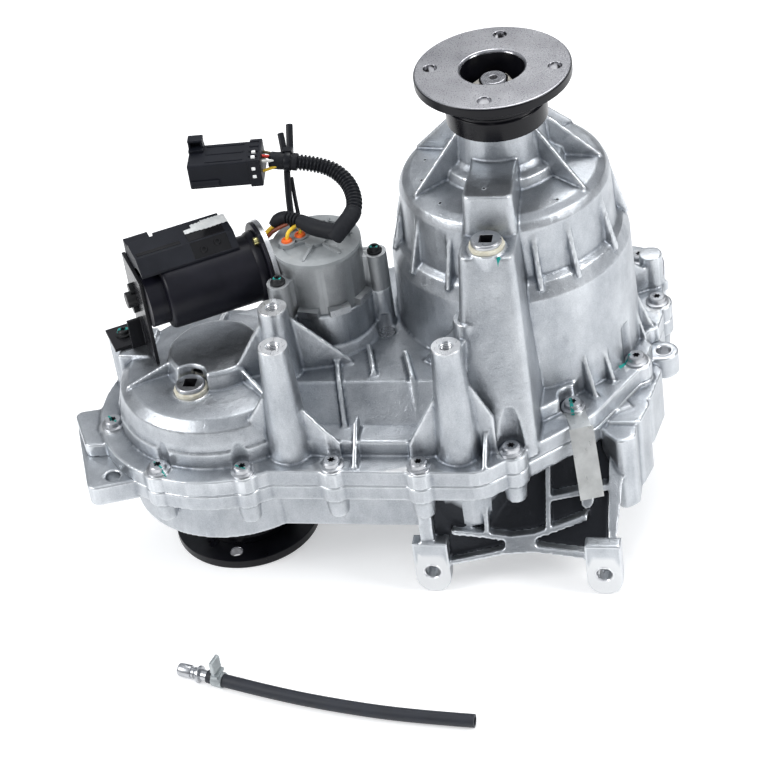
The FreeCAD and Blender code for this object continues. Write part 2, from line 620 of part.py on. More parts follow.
def foot(x):
    """Upright foot with a round lower end and a hole along Y."""
    back = FOOT_FACE_Y + FOOT_THICK
    round_part = Part.makeCylinder(FOOT_R - 3.0, FOOT_THICK, V(x, FOOT_FACE_Y, FOOT_R - 3.0), V(0, 1, 0))
    shank = block(x - FOOT_R + 3.0, x + FOOT_R - 3.0, FOOT_FACE_Y, back, FOOT_R - 3.0, 50.0)
    pad = Part.makeCylinder(FOOT_R - 3.5, FOOT_THICK + 2.0, V(x, FOOT_FACE_Y, FOOT_HOLE_Z), V(0, 1, 0))
    return fuse([round_part, shank, pad])


def side_columns():
    """Three rounded oil channels on the right side and the bored lug above them."""
    return [
        plate([(70.0, -98.0, 3.0), (88.0, -117.0, 6.0), (100.0, -108.0, 6.0), (100.0, -84.0, 3.0)], 38.0, SPLIT - 6.0),
        plate([(50.0, -94.0, 3.0), (102.0, -94.0, 7.0), (110.0, -64.0, 7.0), (50.0, -60.0, 3.0)], 44.0, SPLIT - 4.0),
        plate([(50.0, -66.0, 3.0), (108.0, -66.0, 8.0), (116.0, -22.0, 8.0), (50.0, -10.0, 3.0)], 62.0, SPLIT - 4.0),
        plate([(60.0, -30.0, 3.0), (108.0, -30.0, 8.0), (112.0, 44.0, 8.0), (60.0, 60.0, 3.0)], 70.0, SPLIT - 4.0),
        cyl(LUG_X, LUG_Y, SPLIT - 20.0, 12.0, 20.0),
        block(88.0, LUG_X, LUG_Y - 12.0, LUG_Y + 12.0, SPLIT - 20.0, SPLIT),
    ]


def front_case():
    """Front half: cast shell, gearbox flange, feet, bores and bolt holes."""
    outside = [joint_outline(SPLIT - FLANGE_THICK, SPLIT), wall_outline(FLOOR - CASE_WALL, SPLIT), round_snout()]
    outside += gear_barrel() + side_columns() + mount_panel()
    belly = tapered(
        [(-186.0, -128.0, 16.0), (-50.0, -128.0, 16.0), (-20.0, -60.0, 16.0), (-150.0, -60.0, 16.0)],
        [(-230.0, -152.0, 16.0), (-30.0, -152.0, 16.0), (0.0, 0.0, 16.0), (-190.0, -40.0, 16.0)], 40.0, 66.0)
    outside.append(belly)
    for x, y in BOLT_XY:
        outside.append(cone(x, y, SPLIT - 32.0, 8.0, 11.0, 32.0))
    ear = plate([(-352.0, -104.0, 6.0), (-322.0, -186.0, 8.0), (-268.0, -168.0, 8.0), (-290.0, -84.0, 6.0)],
                SPLIT - 18.0, SPLIT)
    outside.append(ear)
    solid = fuse(outside)
    hollow = [
        chain_space(FLOOR, SPLIT + 1.0),
        turned([
            (0.0, -1.0), (INPUT_REGISTER_R, -1.0), (INPUT_REGISTER_R, INPUT_REGISTER_DEEP),
            (INPUT_SEAL_R, INPUT_REGISTER_DEEP),
            (INPUT_SEAL_R, 14.0), (INPUT_BEARING_R, 14.0), (INPUT_BEARING_R, 30.0), (58.0, 30.0),
            (58.0, GEAR_Z - 2.0), (RING_OUTER_R, GEAR_Z - 2.0), (RING_OUTER_R, GEAR_Z + GEAR_TALL + 6.0),
            (74.0, GEAR_Z + GEAR_TALL + 6.0), (77.0, SPLIT + 1.0), (0.0, SPLIT + 1.0),
        ]),
        turned([
            (0.0, SNOUT_Z - 1.0), (FRONT_SEAL_R, SNOUT_Z - 1.0), (FRONT_SEAL_R, 50.0), (FRONT_BEARING_R, 50.0),
            (FRONT_BEARING_R, 67.0), (60.0, 69.0), (ROUND_R - 12.0, 72.0), (ROUND_R - 6.0, SPLIT + 1.0),
            (0.0, SPLIT + 1.0),
        ], FRONT_X, FRONT_Y),
        cyl(RAIL_X, RAIL_Y, 50.0, RAIL_R, SPLIT),
        cyl(LUG_X, LUG_Y, 60.0, 6.0, 60.0),
        cyl(-306.0, -168.0, 90.0, 6.0, 30.0),
        under_panel(),
    ]
    for x in (FOOT_LEFT_X, FOOT_RIGHT_X):
        hollow.append(Part.makeCylinder(FOOT_HOLE_R, 40.0, V(x, FOOT_FACE_Y - 10.0, FOOT_HOLE_Z), V(0, 1, 0)))
    for x, y in BOLT_XY:
        hollow.append(cyl(x, y, SPLIT - 24.0, BOLT_R, 30.0))
    for x, y in DOWEL_XY:
        hollow.append(cyl(x, y, SPLIT - 8.0, DOWEL_R, 9.0))
    for k in range(8):
        angle = math.radians(22.5 + 45.0 * k)
        hollow.append(cyl(80.0 * math.cos(angle), 80.0 * math.sin(angle), -1.0, 5.3, 26.0))
    return solid.cut(Part.makeCompound(hollow)).removeSplitter()


# Fasteners, plugs, tag and dowels

def flange_bolt(x, y, seat, r, head_r, head, down):
    """Flange screw with a six-lobed recess; the axis is upright."""
    lobes = []
    for k in range(6):
        angle = math.radians(60.0 * k)
        lobes.append(cyl(x + r * 0.55 * math.cos(angle), y + r * 0.55 * math.sin(angle), seat + head * 0.45,
                         r * 0.2, head))
    shaft = turned([
        (0.0, seat - down), (r - 0.6, seat - down), (r, seat - down + 1.0), (r, seat), (head_r, seat),
        (head_r, seat + 1.4), (head_r * 0.76, seat + 2.2), (head_r * 0.72, seat + head - 0.8),
        (head_r * 0.6, seat + head), (0.0, seat + head),
    ], x, y)
    socket = cyl(x, y, seat + head * 0.45, r * 0.52, head)
    return shaft.cut(Part.makeCompound([socket] + lobes))


def plug(x, y, seat):
    """Screw plug with a collar and a square drive recess."""
    body = turned([
        (0.0, seat - 12.0), (PLUG_R, seat - 12.0), (PLUG_R, seat), (11.8, seat), (11.8, seat + 6.0),
        (10.8, seat + 7.0), (0.0, seat + 7.0),
    ], x, y)
    return body.cut(block(x - 4.8, x + 4.8, y - 4.8, y + 4.8, seat - 4.0, seat + 8.0))


def tag():
    """Thin metal tag held under one case bolt and bent down over the edge of the case."""
    x, y = BOLT_XY[5]
    bend = TAG_REACH
    head = block(-7.0, bend, -8.0, 8.0, BOLT_SEAT_Z, BOLT_SEAT_Z + TAG_THICK)
    drop = block(bend - TAG_THICK, bend, -9.4, 9.4, BOLT_SEAT_Z - TAG_LONG, BOLT_SEAT_Z + TAG_THICK)
    drop.rotate(V(bend, 0, BOLT_SEAT_Z + TAG_THICK), V(0, 1, 0), -TAG_LEAN)
    solid = fuse([head, drop]).cut(cyl(0, 0, BOLT_SEAT_Z - 1.0, BOLT_R, 4.0))
    solid.rotate(V(0, 0, 0), V(0, 0, 1), TAG_TURN)
    solid.translate(V(x, y, 0))
    return solid


def case_bolts():
    """All bolts of the case joint; the one over the tag sits higher by the tag's thickness."""
    solids = []
    for k, (x, y) in enumerate(BOLT_XY):
        lift = TAG_THICK if k == 5 else 0.0
        solids.append(flange_bolt(x, y, BOLT_SEAT_Z + lift, BOLT_R, BOLT_HEAD_R, BOLT_HEAD, 36.0))
    return solids


# Output shafts, flanges, nuts and shields

def output_flange(x, y, face, up):
    """Driving flange.  The face looks up or down; the hub runs the other way."""
    def z(depth):
        return face - depth if up else face + depth
    body = turned([
        (MAIN_R, z(HUB_LONG)), (HUB_R, z(HUB_LONG)), (HUB_R, z(33.0)), (33.0, z(33.0)), (33.0, z(FLANGE_PLATE)),
        (FLANGE_R, z(FLANGE_PLATE)), (FLANGE_R, z(1.0)), (FLANGE_R - 1.0, z(0.0)), (RECESS_R + 1.5, z(0.0)),
        (RECESS_R, z(1.5)), (RECESS_R, z(24.0)), (MAIN_R, z(24.0)),
    ], x, y)
    low = z(FLANGE_PLATE + 1.0) if up else z(-1.0)
    holes = []
    for k in range(4):
        angle = math.radians(90.0 * k)
        hx = x + BOLT_CIRCLE_R * math.cos(angle)
        hy = y + BOLT_CIRCLE_R * math.sin(angle)
        holes.append(cyl(hx, hy, low, FLANGE_HOLE_R, FLANGE_PLATE + 2.0))
    return body.cut(Part.makeCompound(holes))


def shield(x, y, face, up):
    """Grooved dust shield pressed on the flange boss."""
    def z(depth):
        return face - depth if up else face + depth
    return turned([
        (33.0, z(FLANGE_PLATE)), (COLLAR_R, z(FLANGE_PLATE)), (COLLAR_R, z(15.0)), (COLLAR_R - 1.6, z(16.0)),
        (COLLAR_R - 1.6, z(18.0)), (COLLAR_R, z(19.0)), (COLLAR_R, z(23.0)), (COLLAR_R - 1.6, z(24.0)),
        (COLLAR_R - 1.6, z(26.0)), (COLLAR_R, z(27.0)), (COLLAR_R, z(SHIELD_TALL)), (COLLAR_R - 2.5, z(SHIELD_TALL)),
        (COLLAR_R - 2.5, z(30.0)), (33.0, z(30.0)),
    ], x, y)


def lock_nut(x, y, low, r_in):
    """Hexagon nut with a turned collar."""
    hexagon = toothless_hexagon(x, y, low + 2.0, NUT_R, NUT_TALL - 2.0)
    collar = cyl(x, y, low, NUT_R + 1.0, 2.5)
    return fuse([hexagon, collar]).cut(cyl(x, y, low - 1.0, r_in, NUT_TALL + 3.0))


def toothless_hexagon(x, y, z, r, tall):
    """Upright hexagonal prism by its corner radius."""
    points = []
    for k in range(6):
        angle = math.radians(60.0 * k)
        points.append(V(x + r * math.cos(angle), y + r * math.sin(angle), z))
    return Part.Face(Part.makePolygon(points + points[:1])).extrude(V(0, 0, tall))


def main_shaft():
    """Rear output shaft: pilot, drive sprocket seat, splines, bearing seat and threaded end."""
    top = REAR_FACE - 9.0
    shaft = turned([
        (0.0, 46.0), (10.0, 46.0), (10.0, 62.0), (MAIN_R + 2.0, 62.0), (MAIN_R + 2.0, 200.0), (MAIN_R, 204.0),
        (MAIN_R, REAR_FACE - 24.0), (THREAD_R, REAR_FACE - 24.0), (THREAD_R, top - 1.5), (THREAD_R - 1.5, top),
        (3.0, top), (0.0, top - 4.0),
    ])
    return shaft


def front_shaft():
    """Front output shaft between its two bearings."""
    low = 9.0
    return turned([
        (0.0, low + 4.0), (3.0, low), (THREAD_R - 1.5, low), (THREAD_R, low + 1.5), (THREAD_R, 24.0),
        (MAIN_R, 24.0), (MAIN_R, 68.0), (MAIN_R + 4.0, 69.0), (MAIN_R + 4.0, 150.0), (MAIN_R, 152.0),
        (MAIN_R, FRONT_TOP_BEARING_Z + 14.0), (0.0, FRONT_TOP_BEARING_Z + 14.0),
    ], FRONT_X, FRONT_Y)


def sprocket(x, y, r_in, phase):
    """Chain sprocket with a hub on both sides."""
    teeth = toothed(x, y, CHAIN_Z + 1.0, SPROCKET_TEETH, SPROCKET_R - 9.5, SPROCKET_R - LINK_THICK / 2.0 - 0.4,
                    CHAIN_WIDTH - 2.0, phase)
    hub = cyl(x, y, CHAIN_Z - 4.0, 30.0, CHAIN_WIDTH + 8.0)
    return fuse([teeth, hub]).cut(cyl(x, y, CHAIN_Z - 6.0, r_in, CHAIN_WIDTH + 12.0))


def chain():
    """Link plates about both sprockets; every second link is set between the two outer plates."""
    turn = math.radians(CHAIN_TURN)
    along = V(math.cos(turn), math.sin(turn), 0)
    side = V(-along.y, along.x, 0)
    far = V(FRONT_X, FRONT_Y, 0)
    half = SPROCKET_TEETH // 2
    joints = []
    for k in range(CHAIN_HALF // 2):
        joints.append(side * SPROCKET_R + along * (k * CHAIN_PITCH))
    for k in range(half):
        angle = math.pi / 2.0 - math.pi * k / half
        joints.append(far + along * (SPROCKET_R * math.cos(angle)) + side * (SPROCKET_R * math.sin(angle)))
    for k in range(CHAIN_HALF // 2):
        joints.append(far - side * SPROCKET_R - along * (k * CHAIN_PITCH))
    for k in range(half):
        angle = -math.pi / 2.0 - math.pi * k / half
        joints.append(along * (SPROCKET_R * math.cos(angle)) + side * (SPROCKET_R * math.sin(angle)))
    bands = (((8.2, 17.8),), ((0.0, 8.0), (18.0, 26.0)))
    plates = []
    for k, start in enumerate(joints):
        end = joints[(k + 1) % len(joints)]
        way = (end - start).normalize()
        across = V(-way.y, way.x, 0) * (LINK_THICK / 2.0)
        out = way * 3.0
        for low, high in bands[k % 2]:
            level = V(0, 0, CHAIN_Z + low)
            points = [start - out + level, start + across + level, end + across + level, end + out + level,
                      end - across + level, start - across + level]
            plates.append(Part.Face(Part.makePolygon(points + points[:1])).extrude(V(0, 0, high - low)))
    return plates


# Planetary gears and the shift parts inside

def planet_centre(k):
    """Centre of one planet gear."""
    angle = 2.0 * math.pi * k / 3.0
    return (ORBIT_R * math.cos(angle), ORBIT_R * math.sin(angle))


def input_shaft():
    """Splined input shaft with the sun gear."""
    sun = toothed(0, 0, GEAR_Z, SUN_TEETH, MODULE * (SUN_TEETH / 2.0 - 1.1), MODULE * (SUN_TEETH / 2.0 + 0.8),
                  GEAR_TALL)
    body = turned([(12.0, INPUT_END_Z), (INPUT_R, INPUT_END_Z), (INPUT_R, 34.0), (26.0, 34.0), (26.0, GEAR_Z + GEAR_TALL),
                   (12.0, GEAR_Z + GEAR_TALL)])
    return fuse([body, sun]).cut(cyl(0, 0, 0, 12.0, 90.0))


def planet_gear(k):
    """Planet gear; a gap faces the sun and a tooth faces outwards."""
    x, y = planet_centre(k)
    gear = toothed(x, y, GEAR_Z, PLANET_TEETH, MODULE * (PLANET_TEETH / 2.0 - 1.1),
                   MODULE * (PLANET_TEETH / 2.0 + 0.8), GEAR_TALL, 120.0 * k)
    return gear.cut(cyl(x, y, GEAR_Z - 1.0, PIN_R + RUN, GEAR_TALL + 2.0))


def ring_gear():
    """Internal gear held in the front half; a gap stands at every planet."""
    pitch = MODULE * RING_TEETH / 2.0
    inside = toothed(0, 0, GEAR_Z - 2.0, RING_TEETH, pitch - MODULE * 0.8, pitch + MODULE * 1.1, GEAR_TALL + 4.0,
                     0.0, 0.26, 0.62)
    return cyl(0, 0, GEAR_Z - 1.0, RING_OUTER_R, GEAR_TALL + 2.0).cut(inside)


def carrier():
    """Two plates joined by the three planet pins and three posts."""
    low = ring(0, 0, GEAR_Z - 0.6 - PLATE_THICK, 29.0, 52.0, PLATE_THICK)
    high = ring(0, 0, GEAR_Z + GEAR_TALL + 0.6, 20.0, 52.0, PLATE_THICK)
    solids = [low, high]
    for k in range(3):
        x, y = planet_centre(k)
        solids.append(cyl(x, y, GEAR_Z - 2.0, PIN_R, GEAR_TALL + 4.0))
        angle = math.radians(60.0 + 120.0 * k)
        solids.append(cyl(43.0 * math.cos(angle), 43.0 * math.sin(angle), GEAR_Z - 2.0, 5.0, GEAR_TALL + 4.0))
    return fuse(solids)


def sleeve(z):
    """Sliding sleeve with a fork groove."""
    return turned([
        (MAIN_R + 2.0 + RUN, z), (SLEEVE_R, z), (SLEEVE_R, z + 4.0), (SLEEVE_GROOVE_R, z + 4.0),
        (SLEEVE_GROOVE_R, z + 9.0), (SLEEVE_R, z + 9.0), (SLEEVE_R, z + 13.0), (MAIN_R + 2.0 + RUN, z + 13.0),
    ])


def fork(z):
    """Shift fork: a hub on the rail, an arm and half a ring in the sleeve groove."""
    level = z + 4.3
    half_ring = ring(0, 0, level, SLEEVE_GROOVE_R + RUN, SLEEVE_R + 8.0, 4.4)
    half_ring = half_ring.cut(block(4.0, 60.0, -60.0, 60.0, level - 1.0, level + 6.0))
    hub = cyl(RAIL_X, RAIL_Y, z - 2.0, RAIL_R + 5.0, 18.0)
    arm = fin((RAIL_X, RAIL_Y), (0.0, 0.0), [(0.0, level), (84.0, level), (84.0, level + 4.4), (0.0, level + 4.4)],
              16.0)
    lever = fin((RAIL_X, RAIL_Y), (CAM_X, CAM_Y), [(0.0, level), (27.0, level), (27.0, level + 4.4),
                                                   (0.0, level + 4.4)], 8.0)
    return fuse([hub, arm, lever, half_ring]).cut(cyl(RAIL_X, RAIL_Y, z - 4.0, RAIL_R + RUN, 24.0))


def shift_cam():
    """Barrel cam with two tracks on the shift shaft."""
    barrel = turned([
        (0.0, 66.0), (CAM_DRUM_R - 6.0, 66.0), (CAM_DRUM_R, 70.0), (CAM_DRUM_R, 150.0), (CAM_DRUM_R - 6.0, 154.0),
        (CAM_SHAFT_R, 154.0), (CAM_SHAFT_R, 232.0), (0.0, 232.0),
    ], CAM_X, CAM_Y)
    tracks = [ring(CAM_X, CAM_Y, 84.0, CAM_DRUM_R - 3.0, CAM_DRUM_R + 2.0, 6.0),
              ring(CAM_X, CAM_Y, 128.0, CAM_DRUM_R - 3.0, CAM_DRUM_R + 2.0, 6.0)]
    return barrel.cut(Part.makeCompound(tracks))


def oil_pump():
    """Pump body on the rear half of the case, around the main shaft."""
    z = PUMP_Z
    top = z + PUMP_TALL
    reach = bell_room(top) - SEAT
    body = turned([(MAIN_R + 2.0 + RUN, z), (44.0, z), (46.0, z + 2.0), (46.0, top), (MAIN_R + 2.0 + RUN, top)])
    arms = []
    for k in range(3):
        arms.append(spoke_fin(30.0 + 120.0 * k, [(40.0, z + 4.0), (reach, z + 4.0), (reach, z + 12.0),
                                                 (40.0, z + 12.0)], 14.0))
    return fuse([body] + arms).cut(cyl(0, 0, z - 2.0, MAIN_R + 2.0 + RUN, 30.0))


# Shift motor and gear housing

def motor_place(shape):
    """Move a shape made along +Z from the origin onto the motor axis."""
    shape.rotate(V(0, 0, 0), V(0, 1, 0), 90.0)
    shape.rotate(V(0, 0, 0), V(0, 0, 1), MOTOR_TURN)
    shape.translate(V(MOTOR_X, MOTOR_Y, MOTOR_Z))
    return shape


def motor_can():
    """Deep-drawn motor can with rounded ends."""
    return motor_place(turned([
        (0.0, 0.0), (MOTOR_R - 4.0, 0.0), (MOTOR_R - 1.0, 1.0), (MOTOR_R, 4.0), (MOTOR_R, MOTOR_LONG - 3.0),
        (MOTOR_FLANGE_R, MOTOR_LONG - 3.0), (MOTOR_FLANGE_R, MOTOR_LONG), (6.0, MOTOR_LONG),
        (6.0, 6.0), (0.0, 6.0),
    ]))


def motor_plate():
    """Flat plate between the motor and the gear housing."""
    disc = motor_place(ring(0, 0, MOTOR_LONG, 6.0, MOTOR_FLANGE_R + 1.0, 4.0))
    return disc.cut(cyl(CAM_X, CAM_Y, 150.0, PEDESTAL_R + 0.5, HOUSING_Z - 149.5))


def motor_armature():
    """Motor shaft with the worm."""
    return motor_place(turned([
        (0.0, 8.0), (2.5, 8.0), (2.5, MOTOR_LONG + 34.0), (WORM_R, MOTOR_LONG + 34.0),
        (WORM_R, MOTOR_LONG + 54.0), (0.0, MOTOR_LONG + 54.0),
    ]))


def gear_housing():
    """Round cast housing of the shift gear, with lugs, pads and the motor snout."""
    snout = motor_place(cyl(0, 0, MOTOR_LONG + 4.0, 17.0, 40.0))
    solids = [cyl(CAM_X, CAM_Y, HOUSING_Z, HOUSING_R, HOUSING_TOP - HOUSING_Z), snout]
    for angle in LUG_ANGLES:
        x, y = housing_lug(angle)
        solids.append(cyl(x, y, HOUSING_Z, 9.0, 32.0))
        solids.append(fin((CAM_X, CAM_Y), (x, y), [(20.0, HOUSING_Z), (44.0, HOUSING_Z), (44.0, HOUSING_Z + 32.0),
                                                   (20.0, HOUSING_Z + 32.0)], 14.0))
    for angle in (262.0, 300.0, 338.0):
        solids.append(spoke_fin(angle, [(20.0, HOUSING_Z), (40.0, HOUSING_Z), (40.0, HOUSING_Z + 6.0),
                                        (20.0, HOUSING_Z + 8.0)], 17.0, CAM_X, CAM_Y))
    solid = fuse(solids)
    hollow = [cyl(CAM_X, CAM_Y, HOUSING_Z + 4.0, HOUSING_R - 4.0, 60.0),
              cyl(CAM_X, CAM_Y, HOUSING_Z - 1.0, CAM_SHAFT_R + RUN, 20.0),
              motor_place(cyl(0, 0, MOTOR_LONG + 2.0, WORM_R + 2.0, 60.0))]
    for angle in LUG_ANGLES:
        x, y = housing_lug(angle)
        hollow.append(cyl(x, y, HOUSING_Z - 1.0, SCREW_R, 40.0))
        hollow.append(cyl(x, y, HOUSING_Z + 32.0, 7.0, 20.0))
    hollow.append(motor_place(cyl(0, 0, MOTOR_LONG - 4.0, MOTOR_FLANGE_R + 1.4, 8.0)))
    return solid.cut(Part.makeCompound(hollow))


def encoder_cover():
    """Plastic cover with a raised rim, ribs and two sealed ports."""
    z = HOUSING_TOP
    solids = [cyl(CAM_X, CAM_Y, z - 8.0, HOUSING_R - 4.0, 10.0), ring(CAM_X, CAM_Y, z, COVER_R - 4.0, HOUSING_R, 3.0)]
    for angle in (20.0, 80.0, 140.0, 200.0, 260.0, 320.0):
        solids.append(spoke_fin(angle, [(4.0, z), (COVER_R - 2.0, z), (COVER_R - 2.0, z + 4.0), (4.0, z + 5.0)],
                                2.0, CAM_X, CAM_Y))
    solids.append(cyl(CAM_X, CAM_Y, z, 9.0, 5.0))
    for x, y in PORT_XY:
        solids.append(cyl(x, y, z, 6.5, 6.0))
    solid = fuse(solids).cut(cyl(CAM_X, CAM_Y, z - 10.0, CAM_SHAFT_R + 1.0, 8.0))
    return solid.cut(Part.makeCompound([cyl(x, y, z + 2.0, 4.4, 8.0) for x, y in PORT_XY]))


def worm_wheel():
    """Worm wheel on the shift shaft."""
    gear = toothed(CAM_X, CAM_Y, MOTOR_Z - 4.0, 30, WHEEL_R - 2.4, WHEEL_R, 8.0)
    return gear.cut(cyl(CAM_X, CAM_Y, MOTOR_Z - 5.0, CAM_SHAFT_R, 10.0))


def beside_motor(shape):
    """Move a shape made with +X along the motor and +Z up onto the motor end."""
    shape.rotate(V(0, 0, 0), V(0, 0, 1), MOTOR_TURN)
    shape.translate(V(MOTOR_X, MOTOR_Y, MOTOR_Z))
    return shape


def motor_cover():
    """Black connector box over the motor can, with a step at its outer end."""
    top = MOTOR_R + 10.0
    box = block(-END_CAP_LONG, MOTOR_LONG - 18.0, COVER_FRONT, 30.0, 12.0, top)
    slope = Part.makePolygon([V(-20.0, COVER_FRONT - 0.1, top - 9.0), V(-20.0, COVER_FRONT + 13.0, top + 0.1),
                              V(-20.0, COVER_FRONT - 0.1, top + 0.1), V(-20.0, COVER_FRONT - 0.1, top - 9.0)])
    box = box.cut(Part.Face(slope).extrude(V(120.0, 0, 0)))
    step = block(-END_CAP_LONG, 6.0, 10.0, 44.0, 4.0, MOTOR_R + 6.0)
    skirt = block(8.0, MOTOR_LONG - 22.0, 12.0, 34.0, 0.0, MOTOR_R + 10.0)
    solid = fuse([box, step, skirt])
    bore = Part.makeCylinder(MOTOR_R + SEAT, 120.0, V(-20.0, 0, 0), V(1, 0, 0))
    return beside_motor(solid.cut(bore))


def motor_end_cap():
    """End cap of the motor with the bush boss and two screw ears."""
    cap = Part.makeCylinder(MOTOR_R - 6.0, END_CAP_LONG, V(-END_CAP_LONG, 0, 0), V(1, 0, 0))
    arm = block(-END_CAP_LONG, -4.0, 0.0, 34.0, -24.0, 3.0)
    return beside_motor(fuse([cap, arm]))


def motor_bracket():
    """Pressed bracket between the outer end of the motor and the boss on the case."""
    level = MOTOR_FOOT_Z - MOTOR_Z
    upright = block(-END_CAP_LONG - 3.0, -END_CAP_LONG, -4.0, 46.0, level, 20.0)
    foot_plate = block(-END_CAP_LONG - 28.0, -END_CAP_LONG, 28.0, 58.0, level, level + 3.0)
    gusset = block(-END_CAP_LONG - 14.0, -END_CAP_LONG, 26.0, 29.0, level, level + 26.0)
    solid = beside_motor(fuse([upright, foot_plate, gusset]))
    return solid.cut(cyl(MOTOR_FOOT_X, MOTOR_FOOT_Y, MOTOR_FOOT_Z - 2.0, SCREW_R, 8.0))


def motor_screws():
    """Two screws through the bracket into the end cap and two long screws at the inner flange."""
    solids = []
    for y, z in ((26.0, -2.0), (26.0, -20.0)):
        head = Part.makeCylinder(4.6, 4.0, V(-END_CAP_LONG - 7.0, y, z), V(1, 0, 0))
        solids.append(beside_motor(head))
    for y, z in ((-10.0, 29.6), (-20.0, -24.0)):
        head = Part.makeCylinder(3.4, 4.0, V(MOTOR_LONG - 7.0, y, z), V(1, 0, 0))
        solids.append(beside_motor(head))
    return solids


# Harness, connector and breather hose

def route_wire(points, bend):
    """Straight runs joined by tangent arcs; bend is the share of the shorter run used at a turn."""
    edges = []
    last = points[0]
    for i in range(1, len(points) - 1):
        back = points[i - 1] - points[i]
        ahead = points[i + 1] - points[i]
        reach = bend * min(back.Length, ahead.Length)
        half = back.getAngle(ahead) / 2.0
        r = reach * math.tan(half)
        back.normalize()
        ahead.normalize()
        bisector = (back + ahead).normalize()
        middle = points[i] + bisector * (r / math.sin(half) - r)
        start = points[i] + back * reach
        end = points[i] + ahead * reach
        edges.append(Part.makeLine(last, start))
        edges.append(Part.Arc(start, middle, end).toShape())
        last = end
    edges.append(Part.makeLine(last, points[-1]))
    return Part.Wire(edges)


def tube(points, r):
    """Round tube along a route."""
    wire = route_wire(points, 0.45)
    way = points[1] - points[0]
    circle = Part.Wire(Part.makeCircle(r, points[0], way))
    return wire.makePipeShell([circle], True, False)


def connector():
    """Harness connector with a lock tab and keyed rim."""
    body = block(-29.0, 26.0, -15.0, 15.0, -11.0, 11.0)
    rim = block(16.0, 29.0, -17.0, 17.0, -13.0, 13.0)
    tab = block(-34.0, -16.0, -7.0, 7.0, 9.0, 15.0)
    neck = Part.makeCylinder(9.0, 14.0, V(26.0, 0, 0), V(1, 0, 0))
    solid = fuse([body, rim, tab, neck])
    pocket = block(-30.0, -8.0, -12.5, 12.5, -8.5, 7.0)
    solid = solid.cut(pocket)
    solid.rotate(V(0, 0, 0), V(0, 0, 1), PLUG_TURN)
    solid.translate(CONNECTOR_AT)
    return solid.cut(tube(HARNESS, 6.5))


def strap():
    """Flexible tie on the gear housing cover that holds the harness up."""
    return [tube([V(-166.0, -30.0, HOUSING_TOP + 5.4), V(-169.0, -20.0, 272.0), V(-169.0, -6.0, 288.0)], 2.6),
            tube([V(-171.0, 4.0, 294.0), V(-175.0, 13.0, 306.0), V(-180.0, 20.0, 320.0)], 1.4),
            tube([V(-166.0, 4.0, 294.0), V(-167.0, 14.0, 308.0), V(-163.0, 24.0, 323.0)], 1.4)]


def vent_fitting():
    """Screwed breather nipple pushed into the hose."""
    solid = turned([(2.4, -26.0), (5.4, -26.0), (5.4, -14.0), (7.0, -13.0), (7.0, -7.0), (4.4, -6.0), (4.4, 0.0),
                    (HOSE_BORE_R, 0.0), (HOSE_BORE_R, 16.0), (2.4, 16.0)])
    return along_hose(solid)


def along_hose(shape):
    """Move a shape made along +Z onto the end of the breather hose."""
    way = HOSE[1] - HOSE[0]
    shape.rotate(V(0, 0, 0), V(0, 1, 0), 90.0)
    shape.rotate(V(0, 0, 0), V(0, 0, 1), math.degrees(math.atan2(way.y, way.x)))
    shape.translate(HOSE[0])
    return shape


def hose_clamp():
    """Spring band clamp with two upright ears."""
    band = ring(0, 0, 5.0, HOSE_R, HOSE_R + 1.2, 9.0)
    ears = block(-HOSE_R - 12.0, -HOSE_R + 0.6, -5.0, 5.0, 7.0, 12.0)
    solid = fuse([band, ears]).cut(cyl(0, 0, 0.0, HOSE_R, 30.0))
    return along_hose(solid)


def pickup_tube():
    """Oil pickup tube from the pump down to the strainer in the sump."""
    pipe = tube([V(-41.0, -32.0, PUMP_Z + 5.0), V(-79.0, -63.0, PUMP_Z), V(-79.0, -63.0, 100.0),
                 V(-100.0, -92.0, 78.0)], 4.0)
    return fuse([pipe, cyl(-100.0, -92.0, FLOOR + 10.0, 14.0, 9.0)])


HOSE_R = 5.2
HOSE_BORE_R = 3.4
HARNESS = [V(-126.0, -62.0, 255.6), V(-116.0, -60.0, 267.0), V(-106.0, -38.0, 274.0), V(-116.0, -14.0, 286.0),
           V(-144.0, -3.0, 295.0), V(-177.4, -4.3, 299.0)]
CONNECTOR_AT = V(-217.0, -12.7, 299.0)
PLUG_TURN = 12.0
WIRE = [V(-180.0, -46.0, 251.0), V(-184.0, -38.0, 257.0), V(-176.0, -34.0, 262.0), V(-160.0, -36.0, 264.0)]
HOSE = [V(-222.0, -280.0, 5.3), V(-168.0, -296.0, 5.3), V(-112.0, -308.0, 5.3), V(-58.0, -316.0, 5.3),
        V(-8.5, -319.0, 5.3)]

save("rear_case", rear_case())
save("front_case", front_case())
save("case_bolts", case_bolts())
save("id_tag", tag())
save("drain_plug", plug(DRAIN_X, DRAIN_Y, ROUND_TOP + 2.0))
save("fill_plug", plug(0.0, FILL_Y, FILL_Z))
save("main_shaft", main_shaft())
save("rear_flange", output_flange(0.0, 0.0, REAR_FACE, True))
save("rear_dust_shield", shield(0.0, 0.0, REAR_FACE, True))
save("rear_nut", lock_nut(0.0, 0.0, REAR_FACE - 24.0, THREAD_R))
save("rear_bearing", ball_bearing(0.0, 0.0, REAR_BEARING_Z, MAIN_R + RUN, REAR_BEARING_R, 15.0, 9))
save("rear_seal", lip_seal(0.0, 0.0, REAR_SEAL_Z, HUB_R + RUN, REAR_SEAL_R, 10.0))
save("drive_sprocket", sprocket(0.0, 0.0, MAIN_R + 2.0, CHAIN_TURN + 90.0))
save("front_output_shaft", front_shaft())
save("front_flange", output_flange(FRONT_X, FRONT_Y, 0.0, False))
save("front_dust_shield", shield(FRONT_X, FRONT_Y, 0.0, False))
save("front_nut", lock_nut(FRONT_X, FRONT_Y, 14.0, THREAD_R))
